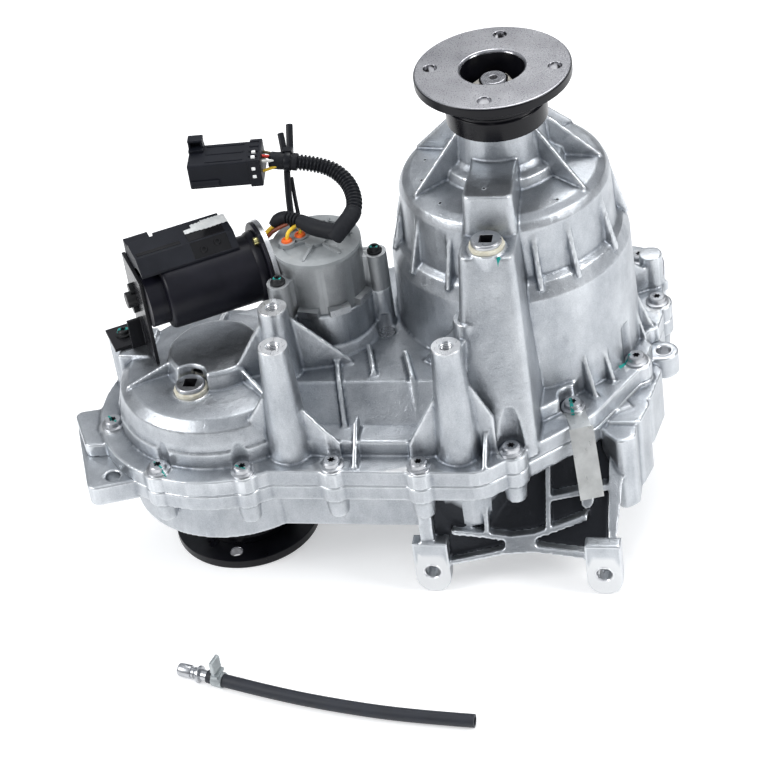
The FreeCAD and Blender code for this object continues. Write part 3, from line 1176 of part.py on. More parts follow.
save("front_lower_bearing", ball_bearing(FRONT_X, FRONT_Y, FRONT_LOW_BEARING_Z, MAIN_R + RUN, FRONT_BEARING_R, 14.0, 9))
save("front_upper_bearing", ball_bearing(FRONT_X, FRONT_Y, FRONT_TOP_BEARING_Z, MAIN_R + RUN, FRONT_BEARING_R, 13.0, 9))
save("driven_sprocket", sprocket(FRONT_X, FRONT_Y, MAIN_R + 4.0, CHAIN_TURN + 90.0))
save("drive_chain", chain())
save("input_shaft", input_shaft())
save("input_bearing", ball_bearing(0.0, 0.0, 14.0, INPUT_R + RUN, INPUT_BEARING_R, 15.0, 11))
save("input_seal", lip_seal(0.0, 0.0, INPUT_END_Z, INPUT_R + RUN, INPUT_SEAL_R, 6.8))
save("ring_gear", ring_gear())
save("carrier", carrier())
for number in range(3):
    save("planet_gear_" + str(number + 1), planet_gear(number))
save("range_sleeve", sleeve(RANGE_Z))
save("mode_sleeve", sleeve(MODE_Z))
save("range_fork", fork(RANGE_Z))
save("mode_fork", fork(MODE_Z))
save("shift_rail", cyl(RAIL_X, RAIL_Y, 50.0, RAIL_R, 116.0))
save("shift_cam", shift_cam())
save("worm_wheel", worm_wheel())
save("oil_pump", oil_pump())
save("motor_can", motor_can())
save("motor_plate", motor_plate())
save("motor_armature", motor_armature())
save("motor_cover", motor_cover())
save("motor_bracket", motor_bracket())
save("motor_foot_bolt", flange_bolt(MOTOR_FOOT_X, MOTOR_FOOT_Y, MOTOR_FOOT_Z + 3.0, SCREW_R, 6.5, 5.0, 16.0))
save("gear_housing", gear_housing())
save("housing_bolts", [flange_bolt(*housing_lug(a), HOUSING_Z + 32.0, SCREW_R, 6.0, 5.0, 46.0) for a in LUG_ANGLES])
save("encoder_cover", encoder_cover())
save("port_seals", [turned([(3.0, HOUSING_TOP + 2.0), (4.4, HOUSING_TOP + 2.0), (4.4, HOUSING_TOP + 7.5),
                            (3.0, HOUSING_TOP + 7.5)], x, y) for x, y in PORT_XY])
save("harness_conduit", tube(HARNESS, 6.5))
save("harness_connector", connector())
save("harness_strap", strap())
save("motor_wires", [tube(WIRE, 1.6), tube([p + V(1.0, 2.5, 2.6) for p in WIRE], 1.6)])
save("vent_hose", tube(HOSE, HOSE_R).cut(tube(HOSE, HOSE_BORE_R)))
save("vent_fitting", vent_fitting())
save("hose_clamp", hose_clamp())
save("pickup_tube", pickup_tube())
save("case_dowels", [cyl(x, y, SPLIT - 8.0, DOWEL_R, 16.0) for x, y in DOWEL_XY])
save("front_seal", lip_seal(FRONT_X, FRONT_Y, SNOUT_Z + 1.0, HUB_R + RUN, FRONT_SEAL_R, 9.0))
save("motor_end_cap", motor_end_cap())
save("motor_screws", motor_screws())
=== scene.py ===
import bpy
import json
import math
from mathutils import Matrix, Vector


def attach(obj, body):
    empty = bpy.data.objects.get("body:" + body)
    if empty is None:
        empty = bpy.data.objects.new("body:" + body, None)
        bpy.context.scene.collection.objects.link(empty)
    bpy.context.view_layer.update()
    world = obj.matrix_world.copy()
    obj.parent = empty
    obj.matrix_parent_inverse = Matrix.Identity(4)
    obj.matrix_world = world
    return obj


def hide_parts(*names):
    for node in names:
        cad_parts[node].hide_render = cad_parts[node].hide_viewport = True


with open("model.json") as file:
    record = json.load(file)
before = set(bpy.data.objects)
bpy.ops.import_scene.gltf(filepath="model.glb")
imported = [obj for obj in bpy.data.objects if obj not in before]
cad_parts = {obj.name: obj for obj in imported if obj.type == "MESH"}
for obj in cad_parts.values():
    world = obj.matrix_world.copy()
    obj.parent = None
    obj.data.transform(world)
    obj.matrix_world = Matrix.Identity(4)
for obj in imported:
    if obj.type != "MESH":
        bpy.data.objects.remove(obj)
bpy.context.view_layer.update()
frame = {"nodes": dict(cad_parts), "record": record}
nodes = frame["nodes"]
body_of_node = {}
for body, members in frame["record"]["behaviour"]["bodies"].items():
    for member in members:
        body_of_node[member] = body
bpy.context.scene.view_settings.view_transform = "Standard"


# Camera
# The camera looks down on the front of the case from well above, with a long lens, as the
# photograph was taken.  It leans a little to one side.
camera = bpy.data.objects.new("camera", bpy.data.cameras.new("camera"))
camera.data.sensor_width = 36.0
camera.data.lens = 117.26
camera.data.clip_end = 20.0
camera.location = (0.2944, -1.6037, 1.3372)
camera.rotation_euler = (math.radians(52.300), math.radians(6.990), math.radians(9.127))
bpy.context.collection.objects.link(camera)
bpy.context.scene.camera = camera


# Room
# A pale floor without a seam under large soft lamps; the floor is seen white and keeps the
# shadow of the case.
FLOOR_GLOW = 0.40
floor_mesh = bpy.data.meshes.new("floor")
floor_mesh.from_pydata([(-9, -9, -0.0002), (9, -9, -0.0002), (9, 9, -0.0002), (-9, 9, -0.0002)], [], [(0, 1, 2, 3)])
floor = bpy.data.objects.new("floor", floor_mesh)
bpy.context.collection.objects.link(floor)
floor_paint = bpy.data.materials.new("floor_paint")
floor_paint.use_nodes = True
floor_tree = floor_paint.node_tree
floor_shader = floor_tree.nodes["Principled BSDF"]
floor_shader.inputs["Base Color"].default_value = (0.86, 0.86, 0.86, 1.0)
floor_shader.inputs["Roughness"].default_value = 0.9
floor_shader.inputs["Specular IOR Level"].default_value = 0.1
floor_shader.inputs["Emission Color"].default_value = (1.0, 1.0, 1.0, 1.0)
seen = floor_tree.nodes.new("ShaderNodeLightPath")
seen_or_mirrored = floor_tree.nodes.new("ShaderNodeMath")
seen_or_mirrored.operation = "MAXIMUM"
seen_at_all = floor_tree.nodes.new("ShaderNodeMath")
seen_at_all.operation = "MAXIMUM"
glow = floor_tree.nodes.new("ShaderNodeMath")
glow.operation = "MULTIPLY"
glow.inputs[1].default_value = FLOOR_GLOW
floor_tree.links.new(seen.outputs["Is Camera Ray"], seen_or_mirrored.inputs[0])
floor_tree.links.new(seen.outputs["Is Glossy Ray"], seen_or_mirrored.inputs[1])
floor_tree.links.new(seen_or_mirrored.outputs[0], seen_at_all.inputs[0])
floor_tree.links.new(seen.outputs["Is Transmission Ray"], seen_at_all.inputs[1])
floor_tree.links.new(seen_at_all.outputs[0], glow.inputs[0])
floor_tree.links.new(glow.outputs[0], floor_shader.inputs["Emission Strength"])
floor_mesh.materials.append(floor_paint)

world = bpy.data.worlds.new("studio")
world.use_nodes = True
bpy.context.scene.world = world
world_tree = world.node_tree
direction = world_tree.nodes.new("ShaderNodeTexCoord")
split_direction = world_tree.nodes.new("ShaderNodeSeparateXYZ")
sky = world_tree.nodes.new("ShaderNodeValToRGB")
sky.color_ramp.elements[0].position = 0.08
sky.color_ramp.elements[0].color = (0.085, 0.09, 0.10, 1.0)
sky.color_ramp.elements[1].position = 0.72
sky.color_ramp.elements[1].color = (0.62, 0.64, 0.67, 1.0)
world_tree.links.new(direction.outputs["Generated"], split_direction.inputs["Vector"])
world_tree.links.new(split_direction.outputs["Z"], sky.inputs["Fac"])
world_tree.links.new(sky.outputs["Color"], world_tree.nodes["Background"].inputs["Color"])

for lamp_name, lamp_place, lamp_size, lamp_power in (
        ("lamp_left", (-1.5, -0.9, 1.3), 0.8, 18.0),
        ("lamp_right", (1.5, -0.4, 1.1), 0.6, 14.0),
        ("lamp_top", (0.1, 1.0, 1.9), 1.0, 17.0)):
    lamp_data = bpy.data.lights.new(lamp_name, "AREA")
    lamp_data.size = lamp_size
    lamp_data.energy = lamp_power
    lamp = bpy.data.objects.new(lamp_name, lamp_data)
    lamp.location = lamp_place
    lamp.rotation_euler = (Vector((-0.08, 0.0, 0.15)) - Vector(lamp_place)).to_track_quat("-Z", "Y").to_euler()
    bpy.context.collection.objects.link(lamp)


# Breather hose
# A short piece of black rubber hose that lies loose in front of the case.  It is extruded and
# cut square, so its bore shows at the bare end.
HOSE_RADIUS = 0.0052
HOSE_BORE = 0.0034
hose_points = [(-0.222, -0.280, 0.0053), (-0.168, -0.296, 0.0053), (-0.112, -0.308, 0.0053),
               (-0.058, -0.316, 0.0053), (-0.0085, -0.319, 0.0053)]


def nurbs_route(name, points, order=3):
    """Smooth open curve with the given control points."""
    curve = bpy.data.curves.new(name, "CURVE")
    curve.dimensions = "3D"
    curve.resolution_u = 24
    spline = curve.splines.new("NURBS")
    spline.points.add(len(points) - 1)
    for place, point in zip(spline.points, points):
        place.co = (*point, 1.0)
    spline.order_u = order
    spline.use_endpoint_u = True
    route = bpy.data.objects.new(name, curve)
    bpy.context.collection.objects.link(route)
    return route


def route_line(name, points):
    """Points read along the smooth route, a small step apart."""
    route = nurbs_route(name + "_route", points)
    bpy.context.view_layer.update()
    line = bpy.data.meshes.new_from_object(route)
    places = [v.co.copy() for v in line.vertices]
    bpy.data.meshes.remove(line)
    bpy.data.objects.remove(route)
    return places


def line_length(line):
    """Length of a line of points."""
    return sum((b - a).length for a, b in zip(line, line[1:]))


def along_line(line, distance):
    """Point and direction at a distance along a line."""
    for a, b in zip(line, line[1:]):
        step = (b - a).length
        if distance <= step and step > 0.0:
            return a.lerp(b, distance / step), (b - a).normalized()
        distance -= step
    return line[-1].copy(), (line[-1] - line[-2]).normalized()


def whole_mesh(operation, **settings):
    """One mesh operation on all of the picked piece."""
    bpy.ops.object.mode_set(mode="EDIT")
    bpy.ops.mesh.select_all(action="SELECT")
    operation(**settings)
    bpy.ops.object.mode_set(mode="OBJECT")


def swept(name, line, start, end, radius_at, step, sides=24, flat=1.0):
    """Round skin along part of a line; its radius is asked for at each distance, and its ends are closed."""
    count = max(2, round((end - start) / step))
    side = Vector((0.0, 0.0, 1.0)).cross(along_line(line, start)[1]).normalized()
    corners = []
    for i in range(count + 1):
        distance = start + (end - start) * i / count
        middle, ahead = along_line(line, distance)
        side = (side - ahead * side.dot(ahead)).normalized()
        up = ahead.cross(side)
        radius = radius_at(distance)
        for k in range(sides):
            turn = 2.0 * math.pi * k / sides
            corners.append(middle + side * (radius * math.cos(turn)) + up * (radius * flat * math.sin(turn)))
    faces = []
    for i in range(count):
        for k in range(sides):
            after = (k + 1) % sides
            faces.append((i * sides + k, i * sides + after, (i + 1) * sides + after, (i + 1) * sides + k))
    faces.append(tuple(reversed(range(sides))))
    faces.append(tuple(count * sides + k for k in range(sides)))
    skin = bpy.data.meshes.new(name)
    skin.from_pydata([tuple(c) for c in corners], [], faces)
    piece = bpy.data.objects.new(name, skin)
    bpy.context.collection.objects.link(piece)
    pick(piece)
    whole_mesh(bpy.ops.mesh.normals_make_consistent, inside=False)
    return piece


def pick(piece):
    """Make one piece the only one selected, and the active one."""
    bpy.ops.object.select_all(action="DESELECT")
    piece.select_set(True)
    bpy.context.view_layer.objects.active = piece


def new_material(name, colour, metallic, roughness):
    """Surface with its main values set on the shader itself."""
    material = bpy.data.materials.new(name)
    material.use_nodes = True
    shader = material.node_tree.nodes["Principled BSDF"]
    shader.inputs["Base Color"].default_value = (*colour, 1.0)
    shader.inputs["Metallic"].default_value = metallic
    shader.inputs["Roughness"].default_value = roughness
    return material


def noise(material, scale, detail=4.0, stretch=(1.0, 1.0, 1.0), roughness=0.55):
    """Noise over the piece in object space, with cells of about 1/scale metres."""
    tree = material.node_tree
    place = tree.nodes.new("ShaderNodeTexCoord")
    mapping = tree.nodes.new("ShaderNodeMapping")
    mapping.inputs["Scale"].default_value = stretch
    pattern = tree.nodes.new("ShaderNodeTexNoise")
    pattern.inputs["Scale"].default_value = scale
    pattern.inputs["Detail"].default_value = detail
    pattern.inputs["Roughness"].default_value = roughness
    tree.links.new(place.outputs["Object"], mapping.inputs["Vector"])
    tree.links.new(mapping.outputs["Vector"], pattern.inputs["Vector"])
    return pattern.outputs["Fac"]


def spread(material, value, low, high, start=0.3, end=0.7):
    """Number that runs from low to high as the value runs from start to end."""
    tree = material.node_tree
    ramp = tree.nodes.new("ShaderNodeMapRange")
    ramp.inputs["From Min"].default_value = start
    ramp.inputs["From Max"].default_value = end
    ramp.inputs["To Min"].default_value = low
    ramp.inputs["To Max"].default_value = high
    tree.links.new(value, ramp.inputs["Value"])
    return ramp.outputs["Result"]


def tint(material, value, dark, light, start=0.3, end=0.7):
    """Colour that runs from dark to light with the value, led into the base colour."""
    tree = material.node_tree
    ramp = tree.nodes.new("ShaderNodeValToRGB")
    ramp.color_ramp.elements[0].position = start
    ramp.color_ramp.elements[0].color = (*dark, 1.0)
    ramp.color_ramp.elements[1].position = end
    ramp.color_ramp.elements[1].color = (*light, 1.0)
    tree.links.new(value, ramp.inputs["Fac"])
    tree.links.new(ramp.outputs["Color"], tree.nodes["Principled BSDF"].inputs["Base Color"])
    return ramp.outputs["Color"]


def rough(material, value):
    """Lead a value into the roughness."""
    material.node_tree.links.new(value, material.node_tree.nodes["Principled BSDF"].inputs["Roughness"])


def bump(material, value, depth, over=None):
    """Small relief of the given depth in metres, laid over an earlier relief if there is one."""
    tree = material.node_tree
    relief = tree.nodes.new("ShaderNodeBump")
    relief.inputs["Strength"].default_value = 1.0
    relief.inputs["Distance"].default_value = depth
    tree.links.new(value, relief.inputs["Height"])
    if over:
        tree.links.new(over, relief.inputs["Normal"])
    tree.links.new(relief.outputs["Normal"], tree.nodes["Principled BSDF"].inputs["Normal"])
    return relief.outputs["Normal"]


def rubber(name, colour, roughness):
    """Rubber or soft plastic with a fine grain and faint dusty patches."""
    material = new_material(name, colour, 0.0, roughness)
    patches = noise(material, 60.0)
    tint(material, patches, colour, tuple(c * 1.8 + 0.004 for c in colour))
    rough(material, spread(material, patches, roughness - 0.08, roughness + 0.1))
    bump(material, noise(material, 2200.0, 2.0), 0.00012)
    return material


def finish_piece(piece, material, body, slot, *replaced):
    """Give a made piece its surface, its body and the nodes it stands for."""
    if material:
        piece.data.materials.clear()
        piece.data.materials.append(material)
    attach(piece, body)
    if replaced:
        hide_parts(*replaced)


hose_line = route_line("hose", hose_points)
hose_length = line_length(hose_line)
hose = swept("hose_rubber", hose_line, 0.0, hose_length, lambda s: HOSE_RADIUS, 0.002, 32)
pick(hose)
bpy.ops.object.mode_set(mode="EDIT")
bpy.ops.mesh.select_all(action="DESELECT")
bpy.ops.object.mode_set(mode="OBJECT")
for face in hose.data.polygons:
    face.select = len(face.vertices) > 4
bpy.ops.object.mode_set(mode="EDIT")
bpy.ops.mesh.delete(type="FACE")
bpy.ops.object.mode_set(mode="OBJECT")
wall = hose.modifiers.new("wall", "SOLIDIFY")
wall.thickness = HOSE_RADIUS - HOSE_BORE
wall.offset = -1.0
bpy.ops.object.modifier_apply(modifier="wall")
bpy.ops.object.shade_smooth_by_angle(angle=math.radians(40.0))
finish_piece(hose, rubber("hose_rubber", (0.011, 0.013, 0.019), 0.55), "case", "hose_rubber", "vent_hose")


# Breather nipple
# The plated steel valve body that screws the hose to the case: a round-ended head, a waist with
# slots and a flange, turned from bar.  Its spigot is pushed into the hose.
def turned(name, rings, sides=64):
    """Round piece drawn ring by ring along +Z, as on a lathe; a ring is a radius and a height."""
    bpy.ops.object.select_all(action="DESELECT")
    radius, height = rings[0]
    bpy.ops.mesh.primitive_circle_add(vertices=sides, radius=radius, location=(0.0, 0.0, height))
    piece = bpy.context.object
    piece.name = name
    bpy.ops.object.transform_apply(location=True)
    bpy.ops.object.mode_set(mode="EDIT")
    bpy.ops.mesh.select_all(action="SELECT")
    for next_radius, next_height in rings[1:]:
        ratio = next_radius / radius
        bpy.ops.mesh.extrude_region_move(TRANSFORM_OT_translate={"value": (0.0, 0.0, next_height - height)})
        bpy.ops.transform.resize(value=(ratio, ratio, 1.0), center_override=(0.0, 0.0, 0.0))
        radius, height = next_radius, next_height
    bpy.ops.mesh.select_all(action="SELECT")
    bpy.ops.mesh.remove_doubles(threshold=0.000004)
    bpy.ops.mesh.normals_make_consistent(inside=False)
    bpy.ops.object.mode_set(mode="OBJECT")
    bpy.ops.object.shade_smooth_by_angle(angle=math.radians(32.0))
    return piece


def settle(piece, place):
    """Carry a piece that was made at the origin to its place and leave its object there."""
    pick(piece)
    piece.matrix_world = place
    bpy.ops.object.transform_apply(location=True, rotation=True, scale=True)


def steel(name, dark, light, low, high, grain=400.0):
    """Bare or plated steel with a faint cloudy tone and fine handling marks."""
    material = new_material(name, light, 1.0, low)
    cloud = noise(material, grain * 0.2)
    tint(material, cloud, dark, light)
    rough(material, spread(material, noise(material, grain, 5.0, (1.0, 1.0, 0.3)), low, high))
    bump(material, noise(material, grain * 4.0, 2.0), 0.000006)
    return material


zinc = steel("zinc_plate", (0.40, 0.41, 0.43), (0.62, 0.63, 0.65), 0.26, 0.40)
hose_start, hose_ahead = along_line(hose_line, 0.0)
hose_frame = Matrix.Translation(hose_start) @ hose_ahead.to_track_quat("Z", "Y").to_matrix().to_4x4()
nipple = turned("breather_nipple", [
    (0.0024, 0.0155), (0.0024, -0.0245), (0.0030, -0.0258), (0.0042, -0.0258), (0.0050, -0.0252), (0.0054, -0.0240),
    (0.0054, -0.0150), (0.0050, -0.0143), (0.0041, -0.0141), (0.0041, -0.0121), (0.0049, -0.0119), (0.0049, -0.0112),
    (0.0041, -0.0110), (0.0041, -0.0088), (0.0062, -0.0086), (0.0070, -0.0080), (0.0070, -0.0066), (0.0064, -0.0060),
    (0.0044, -0.0058), (0.0044, -0.0004), (0.0034, -0.0002), (0.0034, 0.0150), (0.0030, 0.0155), (0.0024, 0.0155)], 48)
settle(nipple, hose_frame)
finish_piece(nipple, zinc, "case", "zinc_steel", "vent_fitting")


# Hose clamp
# A spring steel band with a ribbed thumb tab that stands up from the hose.  It is stamped,
# rolled round and plated.
def boxed(name, low, high, edge, segments=2):
    """Block with rounded edges between two corners."""
    bpy.ops.object.select_all(action="DESELECT")
    middle = tuple((a + b) / 2.0 for a, b in zip(low, high))
    bpy.ops.mesh.primitive_cube_add(size=1.0, location=middle)
    piece = bpy.context.object
    piece.name = name
    piece.scale = tuple(b - a for a, b in zip(low, high))
    bpy.ops.object.transform_apply(location=True, rotation=True, scale=True)
    round_edges(piece, edge, segments, 30.0)
    return piece


def round_edges(piece, width, segments=2, angle=35.0):
    """Break the sharp edges of a piece and draw its round faces smooth."""
    pick(piece)
    edges = piece.modifiers.new("edges", "BEVEL")
    edges.limit_method = "ANGLE"
    edges.angle_limit = math.radians(angle)
    edges.width = width
    edges.segments = segments
    bpy.ops.object.modifier_apply(modifier="edges")
    bpy.ops.object.shade_smooth_by_angle(angle=math.radians(32.0))
    flats = piece.modifiers.new("flats", "WEIGHTED_NORMAL")
    flats.keep_sharp = True
    bpy.ops.object.modifier_apply(modifier="flats")


def joined(pieces, name):
    """Join made pieces into one."""
    bpy.ops.object.select_all(action="DESELECT")
    for piece in pieces:
        piece.select_set(True)
    bpy.context.view_layer.objects.active = pieces[0]
    bpy.ops.object.join()
    pieces[0].name = name
    return pieces[0]


band = turned("clamp_band", [(0.0053, 0.0050), (0.0062, 0.0050), (0.0064, 0.0054), (0.0064, 0.0136), (0.0062, 0.0140),
                             (0.0053, 0.0140), (0.0053, 0.0050)], 48)
clamp_tab = [boxed("clamp_tab", (-0.0056, 0.0070, 0.0072), (0.0056, 0.0212, 0.0102), 0.0006)]
for ridge in range(6):
    ridge_at = 0.0108 + 0.0017 * ridge
    clamp_tab.append(boxed("clamp_ridge", (-0.0054, ridge_at, 0.0066), (0.0054, ridge_at + 0.0009, 0.0108), 0.0003, 1))
clamp_tab.append(boxed("clamp_lip", (-0.0062, 0.0058, 0.0064), (0.0062, 0.0082, 0.0124), 0.0005))
clamp = joined([band] + clamp_tab, "hose_clamp_band")
settle(clamp, hose_frame)
clamp_grey = steel("clamp_plate", (0.34, 0.37, 0.38), (0.50, 0.53, 0.54), 0.42, 0.56)
finish_piece(clamp, clamp_grey, "case", "zinc_steel", "hose_clamp")


# Harness conduit
# Split corrugated nylon tube, black, from the gear housing cover round to the connector.  Its
# rings are blow-moulded and both of its ends are wrapped with cloth tape.
harness_points = [(-0.1270, -0.0560, 0.2606), (-0.1190, -0.0540, 0.2690), (-0.1105, -0.0370, 0.2750),
                  (-0.1200, -0.0140, 0.2860), (-0.1440, -0.0030, 0.2950), (-0.1840, -0.0056, 0.2990)]
CONDUIT_RADIUS = 0.0064
CONDUIT_PITCH = 0.0030


def black_coat(name, colour, low, high, grain=900.0, depth=0.0001):
    """Black paint or moulded plastic with a fine skin."""
    material = new_material(name, colour, 0.0, low)
    material.node_tree.nodes["Principled BSDF"].inputs["Specular IOR Level"].default_value = 0.24
    patches = noise(material, 45.0)
    tint(material, patches, colour, tuple(c * 1.5 + 0.003 for c in colour))
    rough(material, spread(material, patches, low, high))
    bump(material, noise(material, grain, 3.0), depth)
    return material


def corrugation(distance):
    """Radius of the conduit at a distance: flat crests with narrow grooves between them."""
    wave = math.cos(2.0 * math.pi * distance / CONDUIT_PITCH)
    return CONDUIT_RADIUS - 0.0007 + 0.0007 * max(-1.0, min(1.0, 2.2 * wave))


harness_line = route_line("harness", harness_points)
harness_length = line_length(harness_line)
conduit = swept("conduit_rings", harness_line, 0.0, harness_length - 0.001, corrugation, 0.0004, 28)
bpy.ops.object.shade_smooth()
conduit_black = black_coat("conduit_nylon", (0.007, 0.008, 0.011), 0.28, 0.42, 700.0, 0.00005)
finish_piece(conduit, conduit_black, "case", "black_plastic", "harness_conduit")


def wrapped(distance):
    """Radius of a tape wrap, which steps up a little at each turn."""
    return 0.0068 + 0.0002 * ((distance / 0.006) % 1.0)


tape_black = black_coat("cloth_tape", (0.009, 0.010, 0.013), 0.5, 0.7, 1500.0, 0.00016)
low_wrap = swept("low_tape_wrap", harness_line, 0.0, 0.026, wrapped, 0.0006, 28)
bpy.ops.object.shade_smooth_by_angle(angle=math.radians(40.0))
finish_piece(low_wrap, tape_black, "case", "black_plastic")
high_wrap = swept("high_tape_wrap", harness_line, harness_length - 0.0235, harness_length - 0.003, wrapped, 0.0006, 28)
bpy.ops.object.shade_smooth_by_angle(angle=math.radians(40.0))
finish_piece(high_wrap, tape_black, "case", "black_plastic")


# Harness connector
# The eight-way plug of the vehicle harness, moulded in black nylon, with a lock tab on top, a
# keyed rim and the wires that run back into the conduit.
PLUG_TURN = math.radians(7.0)
plug_frame = Matrix.Translation((-0.2158, -0.0115, 0.2990)) @ Matrix.Rotation(PLUG_TURN, 4, "Z")
shell = boxed("connector_shell", (-0.0290, -0.0150, -0.0110), (0.0270, 0.0150, 0.0110), 0.0016, 3)
pick(shell)
bpy.ops.object.mode_set(mode="EDIT")
bpy.ops.mesh.select_all(action="DESELECT")
bpy.ops.object.mode_set(mode="OBJECT")
mouth = max(shell.data.polygons, key=lambda face: -face.center.x + face.area * 10.0)
mouth.select = True
bpy.ops.object.mode_set(mode="EDIT")
bpy.ops.mesh.inset(thickness=0.0011)
bpy.ops.mesh.extrude_region_move(TRANSFORM_OT_translate={"value": (0.0200, 0.0, 0.0)})
bpy.ops.object.mode_set(mode="OBJECT")
bpy.ops.object.shade_smooth_by_angle(angle=math.radians(32.0))
rim_parts = [boxed("rim_back", (0.0262, -0.0160, -0.0120), (0.0288, 0.0160, 0.0120), 0.0008)]
for rib in range(5):
    rib_at = -0.0160 + 0.0072 * rib
    rim_parts.append(boxed("rim_rib", (0.0190, rib_at, -0.0119), (0.0270, rib_at + 0.0032, 0.0119), 0.0004, 1))
for rail in (-0.0110, 0.0, 0.0110):
    rim_parts.append(boxed("shell_rail", (-0.0150, rail - 0.0010, 0.0106), (0.0150, rail + 0.0010, 0.0116), 0.0003, 1))
rim_parts.append(boxed("lock_foot", (-0.0290, 0.0030, 0.0100), (-0.0170, 0.0150, 0.0136), 0.0008))
rim_parts.append(boxed("lock_post", (-0.0284, 0.0112, 0.0110), (-0.0176, 0.0146, 0.0206), 0.0008))
rim_parts.append(boxed("lock_grip", (-0.0290, 0.0060, 0.0186), (-0.0170, 0.0148, 0.0208), 0.0007))
rim_parts.append(boxed("lock_side_left", (-0.0288, 0.0062, 0.0120), (-0.0272, 0.0140, 0.0200), 0.0004, 1))
rim_parts.append(boxed("lock_side_right", (-0.0188, 0.0062, 0.0120), (-0.0172, 0.0140, 0.0200), 0.0004, 1))
rim_parts.append(boxed("key_rib", (-0.0280, -0.0166, -0.0080), (-0.0050, -0.0140, -0.0030), 0.0006, 1))
connector = joined([shell] + rim_parts, "connector_shell")
settle(connector, plug_frame)
nylon = black_coat("connector_nylon", (0.005, 0.006, 0.010), 0.46, 0.58, 500.0, 0.00002)
finish_piece(connector, nylon, "case", "black_plastic", "harness_connector")
windows = []
for window_y, window_z in ((-0.0030, 0.0112), (-0.0102, 0.0112), (-0.0152, 0.0046), (-0.0152, -0.0026)):
    windows.append(boxed("lock_window", (0.0216, window_y - 0.0013, window_z - 0.0014),
                         (0.0246, window_y + 0.0013, window_z + 0.0014), 0.0003, 1))
windows = joined(windows, "lock_windows")
settle(windows, plug_frame)
finish_piece(windows, rubber("white_nylon", (0.72, 0.73, 0.72), 0.4), "case", "grey_plastic")
blades = []
for row in (-0.0034, 0.0034):
    for column in range(4):
        across = -0.0084 + 0.0056 * column
        blades.append(boxed("blade", (-0.0220, across - 0.0009, row - 0.0004), (-0.0085, across + 0.0009, row + 0.0004),
                            0.0002, 1))
blades = joined(blades, "connector_blades")
settle(blades, plug_frame)
finish_piece(blades, steel("tinned_blade", (0.62, 0.60, 0.55), (0.78, 0.76, 0.70), 0.2, 0.32), "case", "zinc_steel")
for number, (wire_name, wire_colour, wire_y, wire_z) in enumerate((
        ("wire_yellow", (0.72, 0.47, 0.03), -0.0070, -0.0040), ("wire_red", (0.55, 0.03, 0.02), 0.0010, 0.0052),
        ("wire_white", (0.74, 0.74, 0.70), -0.0050, 0.0040), ("wire_green", (0.05, 0.26, 0.12), 0.0064, 0.0010),
        ("wire_olive", (0.12, 0.10, 0.05), 0.0090, 0.0040))):
    leaves = plug_frame @ Vector((0.0275, wire_y, wire_z))
    leans = plug_frame @ Vector((0.0330, wire_y * 0.85, wire_z * 0.85))
    joins = plug_frame @ Vector((0.0420, wire_y * 0.45, wire_z * 0.45))
    wire_line = route_line(wire_name, [tuple(leaves), tuple(leans), tuple(joins)])
    wire = swept(wire_name, wire_line, 0.0, line_length(wire_line), lambda s: 0.0012, 0.001, 12)
    bpy.ops.object.shade_smooth_by_angle(angle=math.radians(40.0))
    finish_piece(wire, rubber(wire_name + "_skin", wire_colour, 0.38), "case", "yellow_wire")


# Harness strap
# A nylon tie that stands on the gear housing cover and holds the conduit up; its two cut tails
# point away above the conduit.
strap_black = black_coat("strap_nylon", (0.006, 0.007, 0.010), 0.32, 0.45, 600.0, 0.00004)
strap_parts = []
for strap_name, strap_points, strap_radius in (
        ("strap_stem", [(-0.1660, -0.0300, 0.2524), (-0.1690, -0.0200, 0.2720), (-0.1695, -0.0060, 0.2925)], 0.0026),
        ("strap_back", [(-0.1590, -0.0300, 0.2524), (-0.1635, -0.0200, 0.2600), (-0.1670, -0.0070, 0.2840)], 0.0016),
        ("tail_left", [(-0.1716, 0.0000, 0.2940), (-0.1740, 0.0100, 0.3020), (-0.1770, 0.0180, 0.3090)], 0.0026),
        ("tail_right", [(-0.1676, 0.0000, 0.2940), (-0.1690, 0.0130, 0.3050), (-0.1696, 0.0216, 0.3150)], 0.0028)):
    strap_line = route_line(strap_name, strap_points)
    part = swept(strap_name, strap_line, 0.0, line_length(strap_line),
                 lambda s, r=strap_radius: r, 0.0015, 16, 0.6)
    round_edges(part, strap_radius * 0.35, 2, 50.0)
    strap_parts.append(part)
ring_middle, ring_ahead = along_line(harness_line, harness_length - 0.0160)
tie_ring = turned("tie_ring", [(0.0069, -0.0024), (0.0078, -0.0024), (0.0080, -0.0020), (0.0080, 0.0020),
                               (0.0078, 0.0024), (0.0069, 0.0024), (0.0069, -0.0024)], 40)
settle(tie_ring, Matrix.Translation(ring_middle) @ ring_ahead.to_track_quat("Z", "Y").to_matrix().to_4x4())
tie_head = boxed("tie_head", (-0.0040, -0.0030, -0.0030), (0.0040, 0.0030, 0.0030), 0.0008)
settle(tie_head, Matrix.Translation(ring_middle + Vector((0.0, 0.0040, 0.0062))))
strap = joined(strap_parts + [tie_ring, tie_head], "strap_tie")
finish_piece(strap, strap_black, "case", "black_plastic", "harness_strap")


